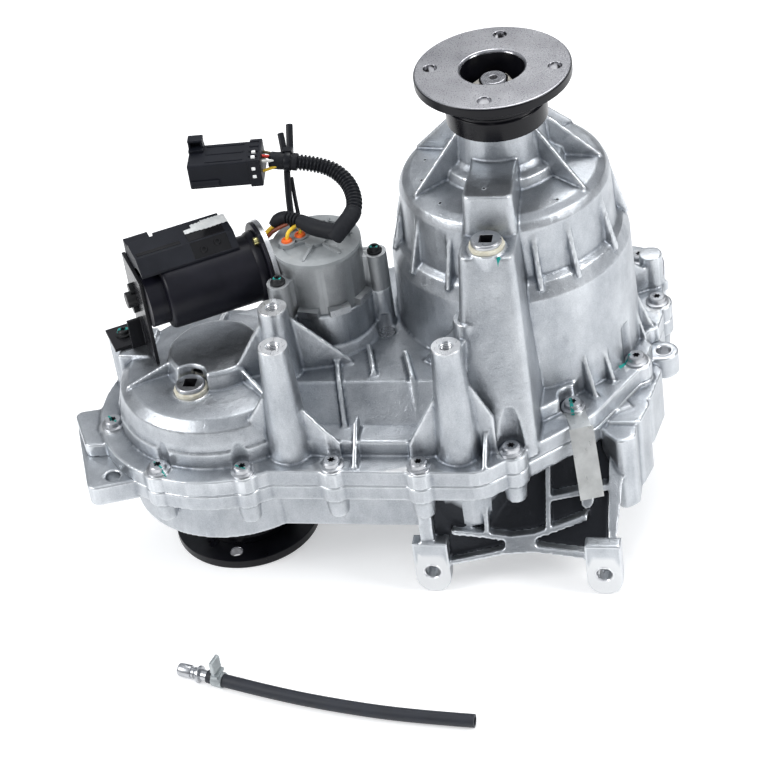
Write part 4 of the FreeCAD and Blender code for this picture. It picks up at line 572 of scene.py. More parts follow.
# Motor wires
# Two insulated wires that come from the shift motor into a rubber boot; the taped branch of the
# harness takes them on across the cover.
wire_points = [(-0.1915, -0.0450, 0.2500), (-0.1860, -0.0415, 0.2535), (-0.1800, -0.0370, 0.2585),
               (-0.1680, -0.0370, 0.2640)]
yellow = rubber("yellow_insulation", (0.70, 0.46, 0.03), 0.36)
brown = rubber("brown_insulation", (0.16, 0.035, 0.012), 0.36)
for wire_name, wire_skin, (shift_x, shift_y, shift_z), stands_for in (
        ("motor_wire_yellow", yellow, (0.0, 0.0, 0.0), ("motor_wires",)),
        ("motor_wire_brown", brown, (0.0012, -0.0022, -0.0022), ())):
    twin_points = [(x + shift_x, y + shift_y, z + shift_z) for x, y, z in wire_points]
    twin_line = route_line(wire_name, twin_points)
    twin = swept(wire_name, twin_line, 0.0, line_length(twin_line), lambda s: 0.0016, 0.001, 14)
    bpy.ops.object.shade_smooth_by_angle(angle=math.radians(40.0))
    finish_piece(twin, wire_skin, "case", "yellow_wire", *stands_for)


# Port seals
# Orange silicone seals in the two wire ports of the cover, pressed in round the wires.
def eased_copy(node, name, width, angle=35.0, segments=2):
    """Merged copy of a node with broken edges and smooth round faces."""
    piece = merged_copy(node, name)
    whole_mesh(bpy.ops.mesh.dissolve_limited, angle_limit=math.radians(0.6))
    round_edges(piece, width, segments, angle)
    return piece


def merged_copy(node, name):
    """Copy of one node with its loose faces joined."""
    piece = bpy.data.objects.new(name, nodes[node].data.copy())
    bpy.context.collection.objects.link(piece)
    pick(piece)
    whole_mesh(bpy.ops.mesh.remove_doubles, threshold=0.00001)
    return piece


seal_parts = []
for port_x, port_y in ((-0.1670, -0.0500), (-0.1580, -0.0420)):
    bead = turned("port_seal", [(0.0016, 0.0), (0.0044, 0.0), (0.0044, 0.0042), (0.0038, 0.0055), (0.0026, 0.0062),
                                (0.0018, 0.0060), (0.0016, 0.0050), (0.0016, 0.0)], 32)
    settle(bead, Matrix.Translation((port_x, port_y, 0.2490)))
    seal_parts.append(bead)
port_seals = joined(seal_parts, "port_seal_pair")
orange = rubber("orange_silicone", (0.78, 0.13, 0.02), 0.34)
finish_piece(port_seals, orange, "case", "orange_seal", "port_seals")
port_wires = []
for port_x, port_y in ((-0.1670, -0.0500), (-0.1580, -0.0420)):
    port_line = route_line("port_wire", [(port_x, port_y, 0.2500), (port_x + 0.0005, port_y, 0.2570),
                                         (port_x + 0.0020, port_y + 0.0040, 0.2600),
                                         (port_x + 0.0080, port_y + 0.0070, 0.2630)])
    lead = swept("port_wire", port_line, 0.0, line_length(port_line), lambda s: 0.0015, 0.001, 12)
    bpy.ops.object.shade_smooth_by_angle(angle=math.radians(40.0))
    port_wires.append(lead)
port_wires = joined(port_wires, "port_wire_pair")
finish_piece(port_wires, yellow, "case", "yellow_wire")
branch_line = route_line("branch", [(-0.1800, -0.0372, 0.2590), (-0.1740, -0.0340, 0.2660), (-0.1580, -0.0400, 0.2660),
                                    (-0.1400, -0.0500, 0.2630), (-0.1240, -0.0545, 0.2640)])


def branch_radius(distance):
    """Radius of the branch: a rubber boot at its free end, a few rings of conduit, then tape up to the elbow."""
    if distance < 0.0150:
        return 0.0034 + 0.0016 * min(1.0, distance / 0.006)
    if distance < 0.0265:
        return corrugation(distance) - 0.0012
    return 0.0054 + 0.0012 * min(1.0, (distance - 0.0265) / 0.012)


branch = swept("taped_branch", branch_line, 0.0, line_length(branch_line), branch_radius, 0.0004, 24)
bpy.ops.object.shade_smooth_by_angle(angle=math.radians(40.0))
finish_piece(branch, tape_black, "case", "black_plastic")


# Rear half of the case
# A pressure die casting in aluminium with thin ribs, left bright as it comes from the tumbler.
# Bolt seats, threaded columns, plug seats and the tower end are machined afterwards.
CAST_GRAIN = 0.0012
CAST_LIMIT = 192000
BOSS_PLACES = ((-0.1723, -0.1029), (-0.1622, -0.1521), (-0.0179, -0.1170), (-0.0300, -0.1521))
BOLT_PLACES = ((-0.264, -0.177), (-0.196, -0.178), (-0.127, -0.170), (-0.059, -0.171), (0.010, -0.151),
               (0.052, -0.098), (0.0965, -0.0385), (0.107, 0.040), (0.088, 0.100), (0.020, 0.126), (-0.056, 0.106),
               (-0.124, 0.062), (-0.192, 0.014), (-0.262, -0.008), (-0.311, -0.052), (-0.314, -0.122))


def cast_skin(piece, grain, smooth, limit):
    """Draw a cast skin over the solid, with every edge and corner slightly rounded."""
    pick(piece)
    remesh = piece.modifiers.new("skin", "REMESH")
    remesh.mode = "VOXEL"
    remesh.voxel_size = grain
    bpy.ops.object.modifier_apply(modifier="skin")
    ease = piece.modifiers.new("ease", "SMOOTH")
    ease.factor = 0.5
    ease.iterations = smooth
    bpy.ops.object.modifier_apply(modifier="ease")
    triangles = 2 * len(piece.data.polygons)
    if triangles > limit:
        thin = piece.modifiers.new("thin", "DECIMATE")
        thin.ratio = limit / triangles
        bpy.ops.object.modifier_apply(modifier="thin")
    bpy.ops.object.shade_smooth()


def surface_pointiness(material):
    """How far the surface is raised or sunk: about 0.5 where flat, more on edges, less in corners."""
    return material.node_tree.nodes.new("ShaderNodeNewGeometry").outputs["Pointiness"]


def blended(material, first, second, share=0.5):
    """Mean of two values, weighted by a share."""
    tree = material.node_tree
    mix = tree.nodes.new("ShaderNodeMix")
    mix.data_type = "FLOAT"
    mix.inputs["Factor"].default_value = share
    tree.links.new(first, mix.inputs["A"])
    tree.links.new(second, mix.inputs["B"])
    return mix.outputs["Result"]


def part_of_skin(material, name):
    """How far the surface belongs to a kind that was marked on the corners of the mesh, from 0 to 1."""
    tree = material.node_tree
    mark = tree.nodes.new("ShaderNodeAttribute")
    mark.attribute_name = name
    return spread(material, mark.outputs["Fac"], 0.0, 1.0, 0.4, 0.6)


def overlaid(material, share, socket, colour):
    """Lead a second colour or value over the one that a socket has so far."""
    tree = material.node_tree
    target = tree.nodes["Principled BSDF"].inputs[socket]
    mix = tree.nodes.new("ShaderNodeMix")
    mix.data_type = "RGBA"
    tree.links.new(target.links[0].from_socket, mix.inputs["A"])
    mix.inputs["B"].default_value = colour
    tree.links.new(share, mix.inputs["Factor"])
    tree.links.new(mix.outputs["Result"], target)


def cast_alloy(name, dark, light, dull=0.0):
    """Die-cast aluminium: cloudy flow patches, painted shade in creases and corners, painted highlight on raised edges
    (partly rubbed wear), near-black painted shade on marked pocket faces, and a pitted skin.
    """
    material = new_material(name, light, 1.0, 0.4)
    flow = noise(material, 34.0, 7.0, (1.0, 1.0, 0.6), 0.62)
    # Pointiness paints light and shade into the colour: painted highlight on raised edges, partly also rubbed wear, and
    # painted shade in creases and corners.
    edge_sheen_and_crevice_shade = spread(material, surface_pointiness(material), 0.0, 1.0, 0.455, 0.545)
    grain = blended(material, flow, noise(material, 1300.0, 3.0), 0.35)
    tint(material, blended(material, grain, edge_sheen_and_crevice_shade, 0.42), dark, light, 0.34, 0.66)
    rough(material, blended(material, spread(material, noise(material, 120.0, 5.0), 0.32 + dull, 0.50 + dull),
                            spread(material, edge_sheen_and_crevice_shade, 0.50 + dull, 0.26 + dull, 0.2, 0.9), 0.4))
    waves = bump(material, noise(material, 110.0, 3.0), 0.00032)
    skin = bump(material, noise(material, 900.0, 4.0), 0.00013, waves)
    bump(material, spread(material, noise(material, 420.0, 2.0), 0.0, 1.0, 0.60, 0.70), 0.00008, skin)
    tooled = part_of_skin(material, "tooled")
    overlaid(material, tooled, "Base Color", (0.68, 0.69, 0.70, 1.0))
    overlaid(material, tooled, "Roughness", (0.3, 0.3, 0.3, 1.0))
    # Marked pocket faces get a near-black colour: painted shade for the shadow in the panel pockets.
    painted_pocket_shade = part_of_skin(material, "painted_pocket_shade")
    overlaid(material, painted_pocket_shade, "Base Color", (0.032, 0.034, 0.039, 1.0))
    return material


def tooled_alloy(name):
    """Freshly machined aluminium, brighter and smoother, with fine tool marks."""
    material = new_material(name, (0.78, 0.79, 0.80), 1.0, 0.24)
    marks = noise(material, 1500.0, 2.0, (1.0, 0.12, 1.0))
    tint(material, noise(material, 140.0), (0.64, 0.65, 0.67), (0.80, 0.81, 0.82))
    rough(material, spread(material, marks, 0.26, 0.40))
    bump(material, marks, 0.000008)
    return material


def give_faces(piece, material, wanted):
    """Give a second surface to the faces that are wanted, told by their middle and their normal."""
    number = len(piece.data.materials)
    piece.data.materials.append(material)
    for face in piece.data.polygons:
        if wanted(face.center, face.normal):
            face.material_index = number


def mark_corners(piece, name, wanted):
    """Mark the corners of a cast skin that belong to another kind of surface."""
    mark = piece.data.attributes.new(name, "FLOAT", "POINT")
    for corner in piece.data.vertices:
        mark.data[corner.index].value = 1.0 if wanted(corner.co, corner.normal) else 0.0


cast_surface = cast_alloy("cast_alloy", (0.215, 0.235, 0.265), (0.66, 0.685, 0.71))
tooled_surface = tooled_alloy("tooled_alloy")
rear_casting = merged_copy("rear_case", "rear_casting")
cast_skin(rear_casting, CAST_GRAIN, 2, CAST_LIMIT)
finish_piece(rear_casting, cast_surface, "case", "cast_aluminium", "rear_case")
SEATS = ([(x, y, 0.2280, 0.0130) for x, y in BOSS_PLACES] + [(x, y, 0.1264, 0.0112) for x, y in BOLT_PLACES]
         + [(-0.2410, -0.1290, 0.1680, 0.0150), (0.0, -0.1030, 0.2835, 0.0150), (0.0, 0.0, 0.3380, 0.0380)])


def on_rear_seat(middle, normal):
    """True on the level faces that are machined on the rear half."""
    if normal.z < 0.9:
        return False
    for x, y, z, reach in SEATS:
        if abs(middle.z - z) < 0.0012 and (middle.x - x) ** 2 + (middle.y - y) ** 2 < reach * reach:
            return True
    return False


mark_corners(rear_casting, "tooled", on_rear_seat)
column_threads = []
for boss_x, boss_y in BOSS_PLACES:
    thread = [(0.0058, 0.2278), (0.0052, 0.2268)]
    for turn in range(11):
        level = 0.2262 - 0.0015 * turn
        thread += [(0.0047, level), (0.0047, level - 0.0002), (0.0052, level - 0.0009), (0.0052, level - 0.0010)]
    lining = turned("column_thread", thread, 40)
    pick(lining)
    whole_mesh(bpy.ops.mesh.normals_make_consistent, inside=True)
    settle(lining, Matrix.Translation((boss_x, boss_y, 0.0)))
    column_threads.append(lining)
    top_ring = turned("column_top", [(0.0049, 0.2262), (0.0058, 0.2282), (0.0110, 0.2282), (0.0113, 0.2279),
                                     (0.0113, 0.2268), (0.0049, 0.2262)], 56)
    settle(top_ring, Matrix.Translation((boss_x, boss_y, 0.0)))
    column_threads.append(top_ring)
threads = joined(column_threads, "column_threads")
finish_piece(threads, tooled_surface, "case", "cast_aluminium")
ejector_marks = []
mark_spots = []
for mark_x, mark_y in ((-0.0411, -0.0549), (0.0477, -0.0516), (-0.0612, 0.0034), (-0.0597, -0.0244),
                       (-0.0030, -0.0720)):
    spot, slope = rear_casting.ray_cast(Vector((mark_x, mark_y, 0.36)), Vector((0.0, 0.0, -1.0)))[1:3]
    punch = turned("ejector_mark", [(0.00001, 0.0001), (0.0011, 0.0001), (0.0013, 0.0005), (0.0017, 0.0005),
                                    (0.0020, -0.0003)], 24)
    settle(punch, Matrix.Translation(spot) @ slope.to_track_quat("Z", "Y").to_matrix().to_4x4())
    ejector_marks.append(punch)
    mark_spots.append(spot)
marks_on_bell = joined(ejector_marks, "ejector_marks")
finish_piece(marks_on_bell, cast_surface, "case", "cast_aluminium")
# Dark colour for painted shade in the middle of each ejector mark and in the centre drill of the rear shaft.
pit_shade = new_material("pit_shade", (0.03, 0.03, 0.035), 0.5, 0.5)
tint(pit_shade, noise(pit_shade, 900.0), (0.02, 0.02, 0.024), (0.06, 0.06, 0.066))
rough(pit_shade, spread(pit_shade, noise(pit_shade, 1400.0), 0.4, 0.6))
give_faces(marks_on_bell, pit_shade,
           lambda middle, normal: min((middle - spot).length for spot in mark_spots) < 0.0010)


# Front half of the case
# The second casting, with the gearbox flange, the slanted panel with its two feet, and the
# columns on its right side.  The pockets of the panel get a near-black painted shade for the shadow under the
# overhanging case; foot and lug holes are drilled.
front_casting = merged_copy("front_case", "front_casting")
cast_skin(front_casting, CAST_GRAIN, 2, CAST_LIMIT)
finish_piece(front_casting, cast_surface, "case", "cast_aluminium", "front_case")


def on_front_seat(middle, normal):
    """True on the machined faces of the front half: foot faces, gearbox flange and seal end."""
    if normal.y < -0.9 and middle.y < -0.1728 and middle.z < 0.045:
        return True
    if normal.z < -0.9 and middle.z < 0.0011:
        return True
    return normal.z < -0.9 and abs(middle.z - 0.0374) < 0.001


def in_shaded_panel_pocket(middle, normal):
    """True on the floor of the slanted panel between its ribs, where painted shade goes."""
    if not (-0.066 < middle.x < 0.088 and 0.016 < middle.z < 0.110 and normal.y < -0.25):
        return False
    rise = (middle.z - 0.016) / 0.0944
    aside = (middle.x + 0.066) / (0.148 + 0.005 * rise)
    floor_y = -0.167 * (1.0 - rise) + rise * (-0.161 + aside * 0.094)
    return abs(middle.y - floor_y) < 0.0030


mark_corners(front_casting, "tooled", on_front_seat)
# The panel pockets are marked for a near-black painted shade.
mark_corners(front_casting, "painted_pocket_shade", in_shaded_panel_pocket)


def hole_ring(name, bore, rim, depth):
    """Turned mouth and wall of a drilled hole, with the mouth level at zero."""
    return turned(name, [(bore, -depth), (bore, -0.0006), (bore + 0.0007, 0.0002), (rim, 0.0002),
                         (rim + 0.0003, -0.0005), (bore, -depth)], 64)


FOOT_HOLES = [(-0.0595, -0.1740, 0.0210), (0.0760, -0.1740, 0.0210)]
LUG_HOLE = (0.1145, -0.0065, 0.1124)
foot_rings = []
for foot_hole in FOOT_HOLES:
    foot_ring = hole_ring("foot_ring", 0.0059, 0.0078, 0.0112)
    settle(foot_ring, Matrix.Translation(foot_hole) @ Matrix.Rotation(math.radians(90.0), 4, "X"))
    foot_rings.append(foot_ring)
foot_linings = joined(foot_rings, "foot_linings")
finish_piece(foot_linings, tooled_surface, "case", "cast_aluminium")
lug_ring = hole_ring("lug_lining", 0.0057, 0.0075, 0.0150)
settle(lug_ring, Matrix.Translation(LUG_HOLE))
finish_piece(lug_ring, tooled_surface, "case", "cast_aluminium")


# Dowels of the joint
# Two hardened steel pins that line up the halves; each sits half in the one and half in the other.
def dress(node, material):
    """Give a solid that keeps its own shape its surface."""
    nodes[node].data.materials.clear()
    nodes[node].data.materials.append(material)


hard_steel = steel("hard_steel", (0.42, 0.42, 0.43), (0.60, 0.60, 0.61), 0.2, 0.34, 500.0)
dress("case_dowels", hard_steel)


# Case bolts
# Flanged M8 screws with star recesses, cold-headed and zinc plated, all round the joint.  Paint
# strokes across some of them show that they have been tightened.
bolts = eased_copy("case_bolts", "case_bolt_set", 0.00035)
finish_piece(bolts, zinc, "case", "zinc_steel", "case_bolts")
head_top = max(corner.co.z for corner in bolts.data.vertices)
# Near-black recess colour: painted shade in the star recesses of the bolts and the sockets of the plugs.
recess_shade = steel("recess_shade", (0.05, 0.05, 0.06), (0.12, 0.12, 0.13), 0.4, 0.55)


def in_star_recess(middle, normal):
    """True on the walls and the floor of the star recess of a case bolt, where painted shade goes."""
    if middle.z < head_top - 0.0045:
        return False
    near = min(math.hypot(middle.x - x, middle.y - y) for x, y in BOLT_PLACES)
    return near < 0.0034 and (abs(normal.z) < 0.75 or middle.z < head_top - 0.0012)


give_faces(bolts, recess_shade, in_star_recess)
paint = new_material("witness_paint", (0.0, 0.30, 0.27), 0.0, 0.35)
tint(paint, noise(paint, 300.0), (0.0, 0.24, 0.22), (0.01, 0.40, 0.35))
rough(paint, spread(paint, noise(paint, 700.0), 0.28, 0.45))
bump(paint, noise(paint, 900.0, 2.0), 0.00012)


def witness_stroke(name, start, end, width, top, under):
    """Paint stroke laid on what lies below it, from one point to another."""
    bpy.ops.object.select_all(action="DESELECT")
    run = Vector(end) - Vector(start)
    bpy.ops.mesh.primitive_grid_add(x_subdivisions=28, y_subdivisions=5, size=1.0)
    stroke = bpy.context.object
    stroke.name = name
    stroke.scale = (run.length, width, 1.0)
    stroke.rotation_euler = (0.0, 0.0, math.atan2(run.y, run.x))
    middle = (Vector(start) + Vector(end)) / 2.0
    stroke.location = (middle.x, middle.y, top)
    bpy.ops.object.transform_apply(location=True, rotation=True, scale=True)
    for corner in stroke.data.vertices:
        ragged = math.sin(corner.co.x * 5100.0 + corner.co.y * 3700.0)
        corner.co.x += 0.00022 * ragged
        corner.co.y += 0.00022 * math.cos(corner.co.x * 4300.0)
    lay = stroke.modifiers.new("lay", "SHRINKWRAP")
    lay.wrap_method = "PROJECT"
    lay.use_project_z = True
    lay.use_negative_direction = True
    lay.use_positive_direction = False
    lay.target = under[0]
    if len(under) > 1:
        lay.auxiliary_target = under[1]
    lay.offset = 0.00018
    bpy.ops.object.modifier_apply(modifier="lay")
    bpy.ops.object.shade_smooth()
    return stroke


STROKES = (
    ((-0.2670, -0.1745), (-0.2560, -0.1850), 0.0016), ((0.0915, -0.0375), (0.0840, -0.0495), 0.0017),
    ((-0.3185, -0.1185), (-0.3100, -0.1255), 0.0016), ((-0.2010, -0.1780), (-0.1925, -0.1820), 0.0015),
)
strokes = []
for stroke_start, stroke_end, stroke_width in STROKES:
    strokes.append(witness_stroke("case_stroke", stroke_start, stroke_end, stroke_width, 0.145, (rear_casting, bolts)))


# Plugs
# The filler and the drain: zinc plated screw plugs with square sockets.  A cream sealing ring is
# squeezed out under each collar.
sealant = new_material("cream_sealant", (0.80, 0.76, 0.62), 0.0, 0.5)
tint(sealant, noise(sealant, 260.0), (0.68, 0.63, 0.48), (0.86, 0.83, 0.72))
rough(sealant, spread(sealant, noise(sealant, 500.0), 0.38, 0.6))
bump(sealant, noise(sealant, 1300.0, 3.0), 0.00014)
for plug_node, plug_name, plug_x, plug_y, plug_seat in (("drain_plug", "drain_screw", -0.2410, -0.1290, 0.1680),
                                                        ("fill_plug", "fill_screw", 0.0, -0.1030, 0.2835)):
    screw = eased_copy(plug_node, plug_name, 0.0005)
    finish_piece(screw, zinc, "case", "zinc_steel", plug_node)
    bead = turned(plug_name + "_bead", [
        (0.0112, 0.0), (0.0131, 0.0), (0.0134, 0.0008), (0.0132, 0.0016), (0.0135, 0.0024),
        (0.0131, 0.0032), (0.0120, 0.0036), (0.0112, 0.0036), (0.0112, 0.0)], 56)
    for corner in bead.data.vertices:
        turn = math.atan2(corner.co.y, corner.co.x)
        swell = 1.0 + 0.022 * math.sin(5.0 * turn + 700.0 * corner.co.z) + 0.012 * math.sin(13.0 * turn)
        corner.co.x *= swell
        corner.co.y *= swell
    settle(bead, Matrix.Translation((plug_x, plug_y, plug_seat)))
    finish_piece(bead, sealant, "case", "orange_seal")
    collar_top = max(corner.co.z for corner in screw.data.vertices)
    # Painted shade in the square socket of the plug.
    give_faces(screw, recess_shade,
               lambda middle, normal: max(abs(middle.x - plug_x), abs(middle.y - plug_y)) < 0.0062
               and (abs(normal.z) < 0.7 or middle.z < collar_top - 0.001) and middle.z > collar_top - 0.012)
    if plug_node == "fill_plug":
        fill_screw = screw
strokes.append(witness_stroke("plug_stroke", (0.0098, -0.1148), (0.0109, -0.1163), 0.0030, 0.300,
                              (rear_casting, fill_screw)))


# Identity tag
# A strip of soft aluminium under one bolt head, bent down over the edge of the case.  Its face is
# blank, with the light scratches of handling.
tag_piece = eased_copy("id_tag", "tag_strip", 0.00022)
tag_metal = new_material("tag_metal", (0.68, 0.69, 0.68), 1.0, 0.34)
tint(tag_metal, noise(tag_metal, 90.0), (0.58, 0.59, 0.58), (0.76, 0.77, 0.76))
rough(tag_metal, spread(tag_metal, noise(tag_metal, 300.0, 5.0, (1.0, 1.0, 0.1)), 0.26, 0.44))
bump(tag_metal, noise(tag_metal, 1400.0, 3.0, (1.0, 1.0, 0.2)), 0.00006)
finish_piece(tag_piece, tag_metal, "case", "tag_metal", "id_tag")
strokes.append(witness_stroke("tag_stroke", (0.0500, -0.0950), (0.0530, -0.1085), 0.0026, 0.150, (tag_piece, bolts)))


# Output flanges
# Forged and turned steel driving flanges with four bolt holes.  The faces are ground and the rims
# keep their black coat.
ground_steel = new_material("ground_steel", (0.40, 0.40, 0.42), 1.0, 0.3)
tint(ground_steel, noise(ground_steel, 24.0, 3.0), (0.30, 0.30, 0.32), (0.46, 0.46, 0.48))
rough(ground_steel, spread(ground_steel, noise(ground_steel, 900.0, 3.0), 0.24, 0.38))
bump(ground_steel, noise(ground_steel, 2600.0, 2.0), 0.000004)
flange_black = black_coat("flange_black", (0.003, 0.003, 0.005), 0.26, 0.38, 800.0, 0.00001)
bright_edge = steel("bright_edge", (0.26, 0.26, 0.28), (0.50, 0.50, 0.52), 0.14, 0.24, 600.0)
for flange_node, flange_name, flange_x, flange_y, face_z, up in (
        ("rear_flange", "rear_driving_flange", 0.0, 0.0, 0.3754, 1.0),
        ("front_flange", "front_driving_flange", -0.2286, -0.0918, 0.0, -1.0)):
    driving_flange = eased_copy(flange_node, flange_name, 0.0009, 35.0, 3)
    finish_piece(driving_flange, flange_black, body_of_node[flange_node], "flange_steel", flange_node)
    give_faces(driving_flange, ground_steel,
               lambda middle, normal: abs(middle.z - face_z) < 0.0006 and normal.z * up > 0.8)


    def in_hole_or_lip(middle, normal):
        """True in the mouth of a bolt hole and on the lip of the middle recess."""
        away = math.hypot(middle.x - flange_x, middle.y - flange_y)
        if 0.0225 < away < 0.0262 and abs(middle.z - face_z) < 0.004:
            return True
        for quarter in range(4):
            hole_x = flange_x + 0.0475 * math.cos(math.pi / 2.0 * quarter)
            hole_y = flange_y + 0.0475 * math.sin(math.pi / 2.0 * quarter)
            if math.hypot(middle.x - hole_x, middle.y - hole_y) < 0.0062 and abs(normal.z) < 0.93:
                return True
        return False


    give_faces(driving_flange, bright_edge, in_hole_or_lip)


# Dust shields
# Grooved black shields, pressed on the flange bosses, that throw water off the seals.
shield_black = black_coat("shield_black", (0.003, 0.003, 0.005), 0.2, 0.3, 500.0, 0.00001)
for shield_node, shield_name in (("rear_dust_shield", "rear_shield"), ("front_dust_shield", "front_shield")):
    shield_piece = eased_copy(shield_node, shield_name, 0.0006, 20.0, 3)
    finish_piece(shield_piece, shield_black, body_of_node[shield_node], "black_steel", shield_node)


# Output nuts
# Staked lock nuts on the shaft ends, phosphated, with a thin turned collar.
nut_steel = steel("nut_steel", (0.30, 0.29, 0.26), (0.50, 0.48, 0.44), 0.26, 0.42)
for nut_node, nut_name in (("rear_nut", "rear_lock_nut"), ("front_nut", "front_lock_nut")):
    nut = eased_copy(nut_node, nut_name, 0.0008, 35.0, 2)
    finish_piece(nut, nut_steel, body_of_node[nut_node], "nut_steel", nut_node)


# Output shafts
# Turned and ground shafts with a centre drilled in each end; the rear one carries its sprocket.
shaft_steel = steel("shaft_steel", (0.46, 0.45, 0.43), (0.64, 0.63, 0.61), 0.2, 0.34)
rear_shaft = eased_copy("main_shaft", "rear_output_shaft_bar", 0.0005)
finish_piece(rear_shaft, shaft_steel, "rear_output", "gear_steel", "main_shaft")
give_faces(rear_shaft, bright_edge,
           lambda middle, normal: middle.z > 0.3645 and math.hypot(middle.x, middle.y) < 0.0112)
# Painted shade in the centre drill.
give_faces(rear_shaft, pit_shade,
           lambda middle, normal: middle.z > 0.3600 and math.hypot(middle.x, middle.y) < 0.0030 and normal.z < 0.95)
front_shaft = eased_copy("front_output_shaft", "front_output_shaft_bar", 0.0005)
finish_piece(front_shaft, shaft_steel, "front_output", "gear_steel", "front_output_shaft")
dress("input_shaft", shaft_steel)


# Bearings
# Deep-groove ball bearings in polished bearing steel, pressed into their seats.
bearing_steel = steel("bearing_steel", (0.56, 0.56, 0.57), (0.74, 0.74, 0.75), 0.1, 0.2, 700.0)
for bearing_node in ("rear_bearing", "front_lower_bearing", "front_upper_bearing", "input_bearing"):
    dress(bearing_node, bearing_steel)


# Shaft seals
# Lip seals of brown-black rubber on a pressed ring, one at each shaft opening.
seal_rubber = rubber("seal_rubber", (0.022, 0.016, 0.013), 0.45)
for seal_node in ("rear_seal", "front_seal", "input_seal"):
    dress(seal_node, seal_rubber)


# Chain drive
# Two sprockets and an inverted-tooth chain of hardened link plates, dark from heat treatment and
# wet with oil.
chain_steel = steel("chain_steel", (0.16, 0.15, 0.14), (0.34, 0.32, 0.30), 0.2, 0.36, 900.0)
dress("drive_chain", chain_steel)
sprocket_steel = steel("sprocket_steel", (0.30, 0.29, 0.28), (0.48, 0.47, 0.45), 0.22, 0.36, 700.0)
for sprocket_node in ("drive_sprocket", "driven_sprocket"):
    dress(sprocket_node, sprocket_steel)


# Planetary gears
# Ring gear, three planets and their carrier in ground gear steel with an oily shine.
gear_steel = steel("gear_steel", (0.40, 0.39, 0.37), (0.58, 0.57, 0.55), 0.18, 0.3, 800.0)
for gear_node in ("ring_gear", "planet_gear_1", "planet_gear_2", "planet_gear_3", "carrier", "worm_wheel"):
    dress(gear_node, gear_steel)


# Shift parts
# Sleeves, forks, rail and barrel cam that choose the range and the drive mode.  The forks are
# cast, the rest is turned.
fork_alloy = cast_alloy("fork_alloy", (0.30, 0.31, 0.33), (0.60, 0.62, 0.64))
for fork_node in ("range_fork", "mode_fork"):
    dress(fork_node, fork_alloy)
for shift_node in ("range_sleeve", "mode_sleeve", "shift_rail", "shift_cam"):
    dress(shift_node, hard_steel)


# Oil pump and pickup
# A flat pump about the rear shaft in machined aluminium, with a bent steel pipe down to the sump.
dress("oil_pump", tooled_surface)
pickup_steel = steel("pickup_steel", (0.36, 0.37, 0.38), (0.54, 0.55, 0.56), 0.26, 0.4, 600.0)
dress("pickup_tube", pickup_steel)


# Gear housing
# The round zinc-aluminium housing of the shift gear, with three screw lugs and bright machined
# pads at its foot.
housing_alloy = cast_alloy("housing_alloy", (0.24, 0.25, 0.26), (0.44, 0.455, 0.465), 0.16)
housing = eased_copy("gear_housing", "shift_gear_housing", 0.0010, 30.0, 3)
finish_piece(housing, housing_alloy, "case", "pump_aluminium", "gear_housing")
give_faces(housing, tooled_surface,
           lambda middle, normal: middle.z < 0.2125 and abs(normal.z) < 0.6
           and math.hypot(middle.x + 0.145, middle.y + 0.045) > 0.0385
           and math.degrees(math.atan2(middle.y + 0.045, middle.x + 0.145)) % 360.0 > 250.0)
housing_screws = eased_copy("housing_bolts", "housing_screw_set", 0.0003)
black_bolt = black_coat("black_bolt", (0.016, 0.017, 0.018), 0.25, 0.38, 700.0, 0.00005)
finish_piece(housing_screws, black_bolt, "case", "black_steel", "housing_bolts")
for lug_turn in (8.0, 122.0, 234.0):
    lug_x = -0.145 + 0.044 * math.cos(math.radians(lug_turn))
    lug_y = -0.045 + 0.044 * math.sin(math.radians(lug_turn))
    strokes.append(witness_stroke("lug_stroke", (lug_x - 0.0030, lug_y - 0.0012),
                                  (lug_x + 0.0030, lug_y - 0.0012), 0.0026, 0.262, (housing_screws, housing)))


# Housing cover
# Light grey moulded cover with a raised rim, radial ribs and two wire ports.  It is clipped into
# the mouth of the housing.
cover_grey = new_material("cover_grey", (0.33, 0.35, 0.36), 0.0, 0.5)
tint(cover_grey, noise(cover_grey, 55.0), (0.27, 0.29, 0.30), (0.40, 0.42, 0.43))
rough(cover_grey, spread(cover_grey, noise(cover_grey, 300.0), 0.42, 0.6))
bump(cover_grey, noise(cover_grey, 1400.0, 3.0), 0.0001)
cover = eased_copy("encoder_cover", "housing_cover", 0.0007, 30.0, 3)
finish_piece(cover, cover_grey, "case", "grey_plastic", "encoder_cover")


# Shift motor
# A deep-drawn steel can, painted gloss black, with an end cap and a mounting flange that is held
# to an aluminium plate by two yellow-plated screws.
motor_frame = Matrix.Translation((-0.263951, -0.084971, 0.2260)) @ Matrix.Rotation(math.radians(30.0), 4, "Z")
motor_paint = black_coat("motor_paint", (0.004, 0.004, 0.008), 0.34, 0.46, 260.0, 0.00002)
can = eased_copy("motor_can", "motor_can_shell", 0.0012, 30.0, 3)
finish_piece(can, motor_paint, "case", "black_paint", "motor_can")
end_cap = eased_copy("motor_end_cap", "motor_end_shell", 0.0012, 30.0, 3)
finish_piece(end_cap, motor_paint, "case", "black_paint", "motor_end_cap")
plate_alloy = tooled_alloy("plate_alloy")
plate = eased_copy("motor_plate", "motor_seat_plate", 0.0005)
finish_piece(plate, plate_alloy, "case", "pump_aluminium", "motor_plate")
yellow_plate = steel("yellow_plate", (0.50, 0.44, 0.16), (0.74, 0.68, 0.34), 0.2, 0.34)
screws = eased_copy("motor_screws", "motor_screw_set", 0.0004)
finish_piece(screws, black_bolt, "case", "zinc_steel", "motor_screws")
give_faces(screws, yellow_plate, lambda middle, normal: (motor_frame.inverted() @ middle).x > 0.03)
dress("motor_armature", shaft_steel)
ear_parts = []
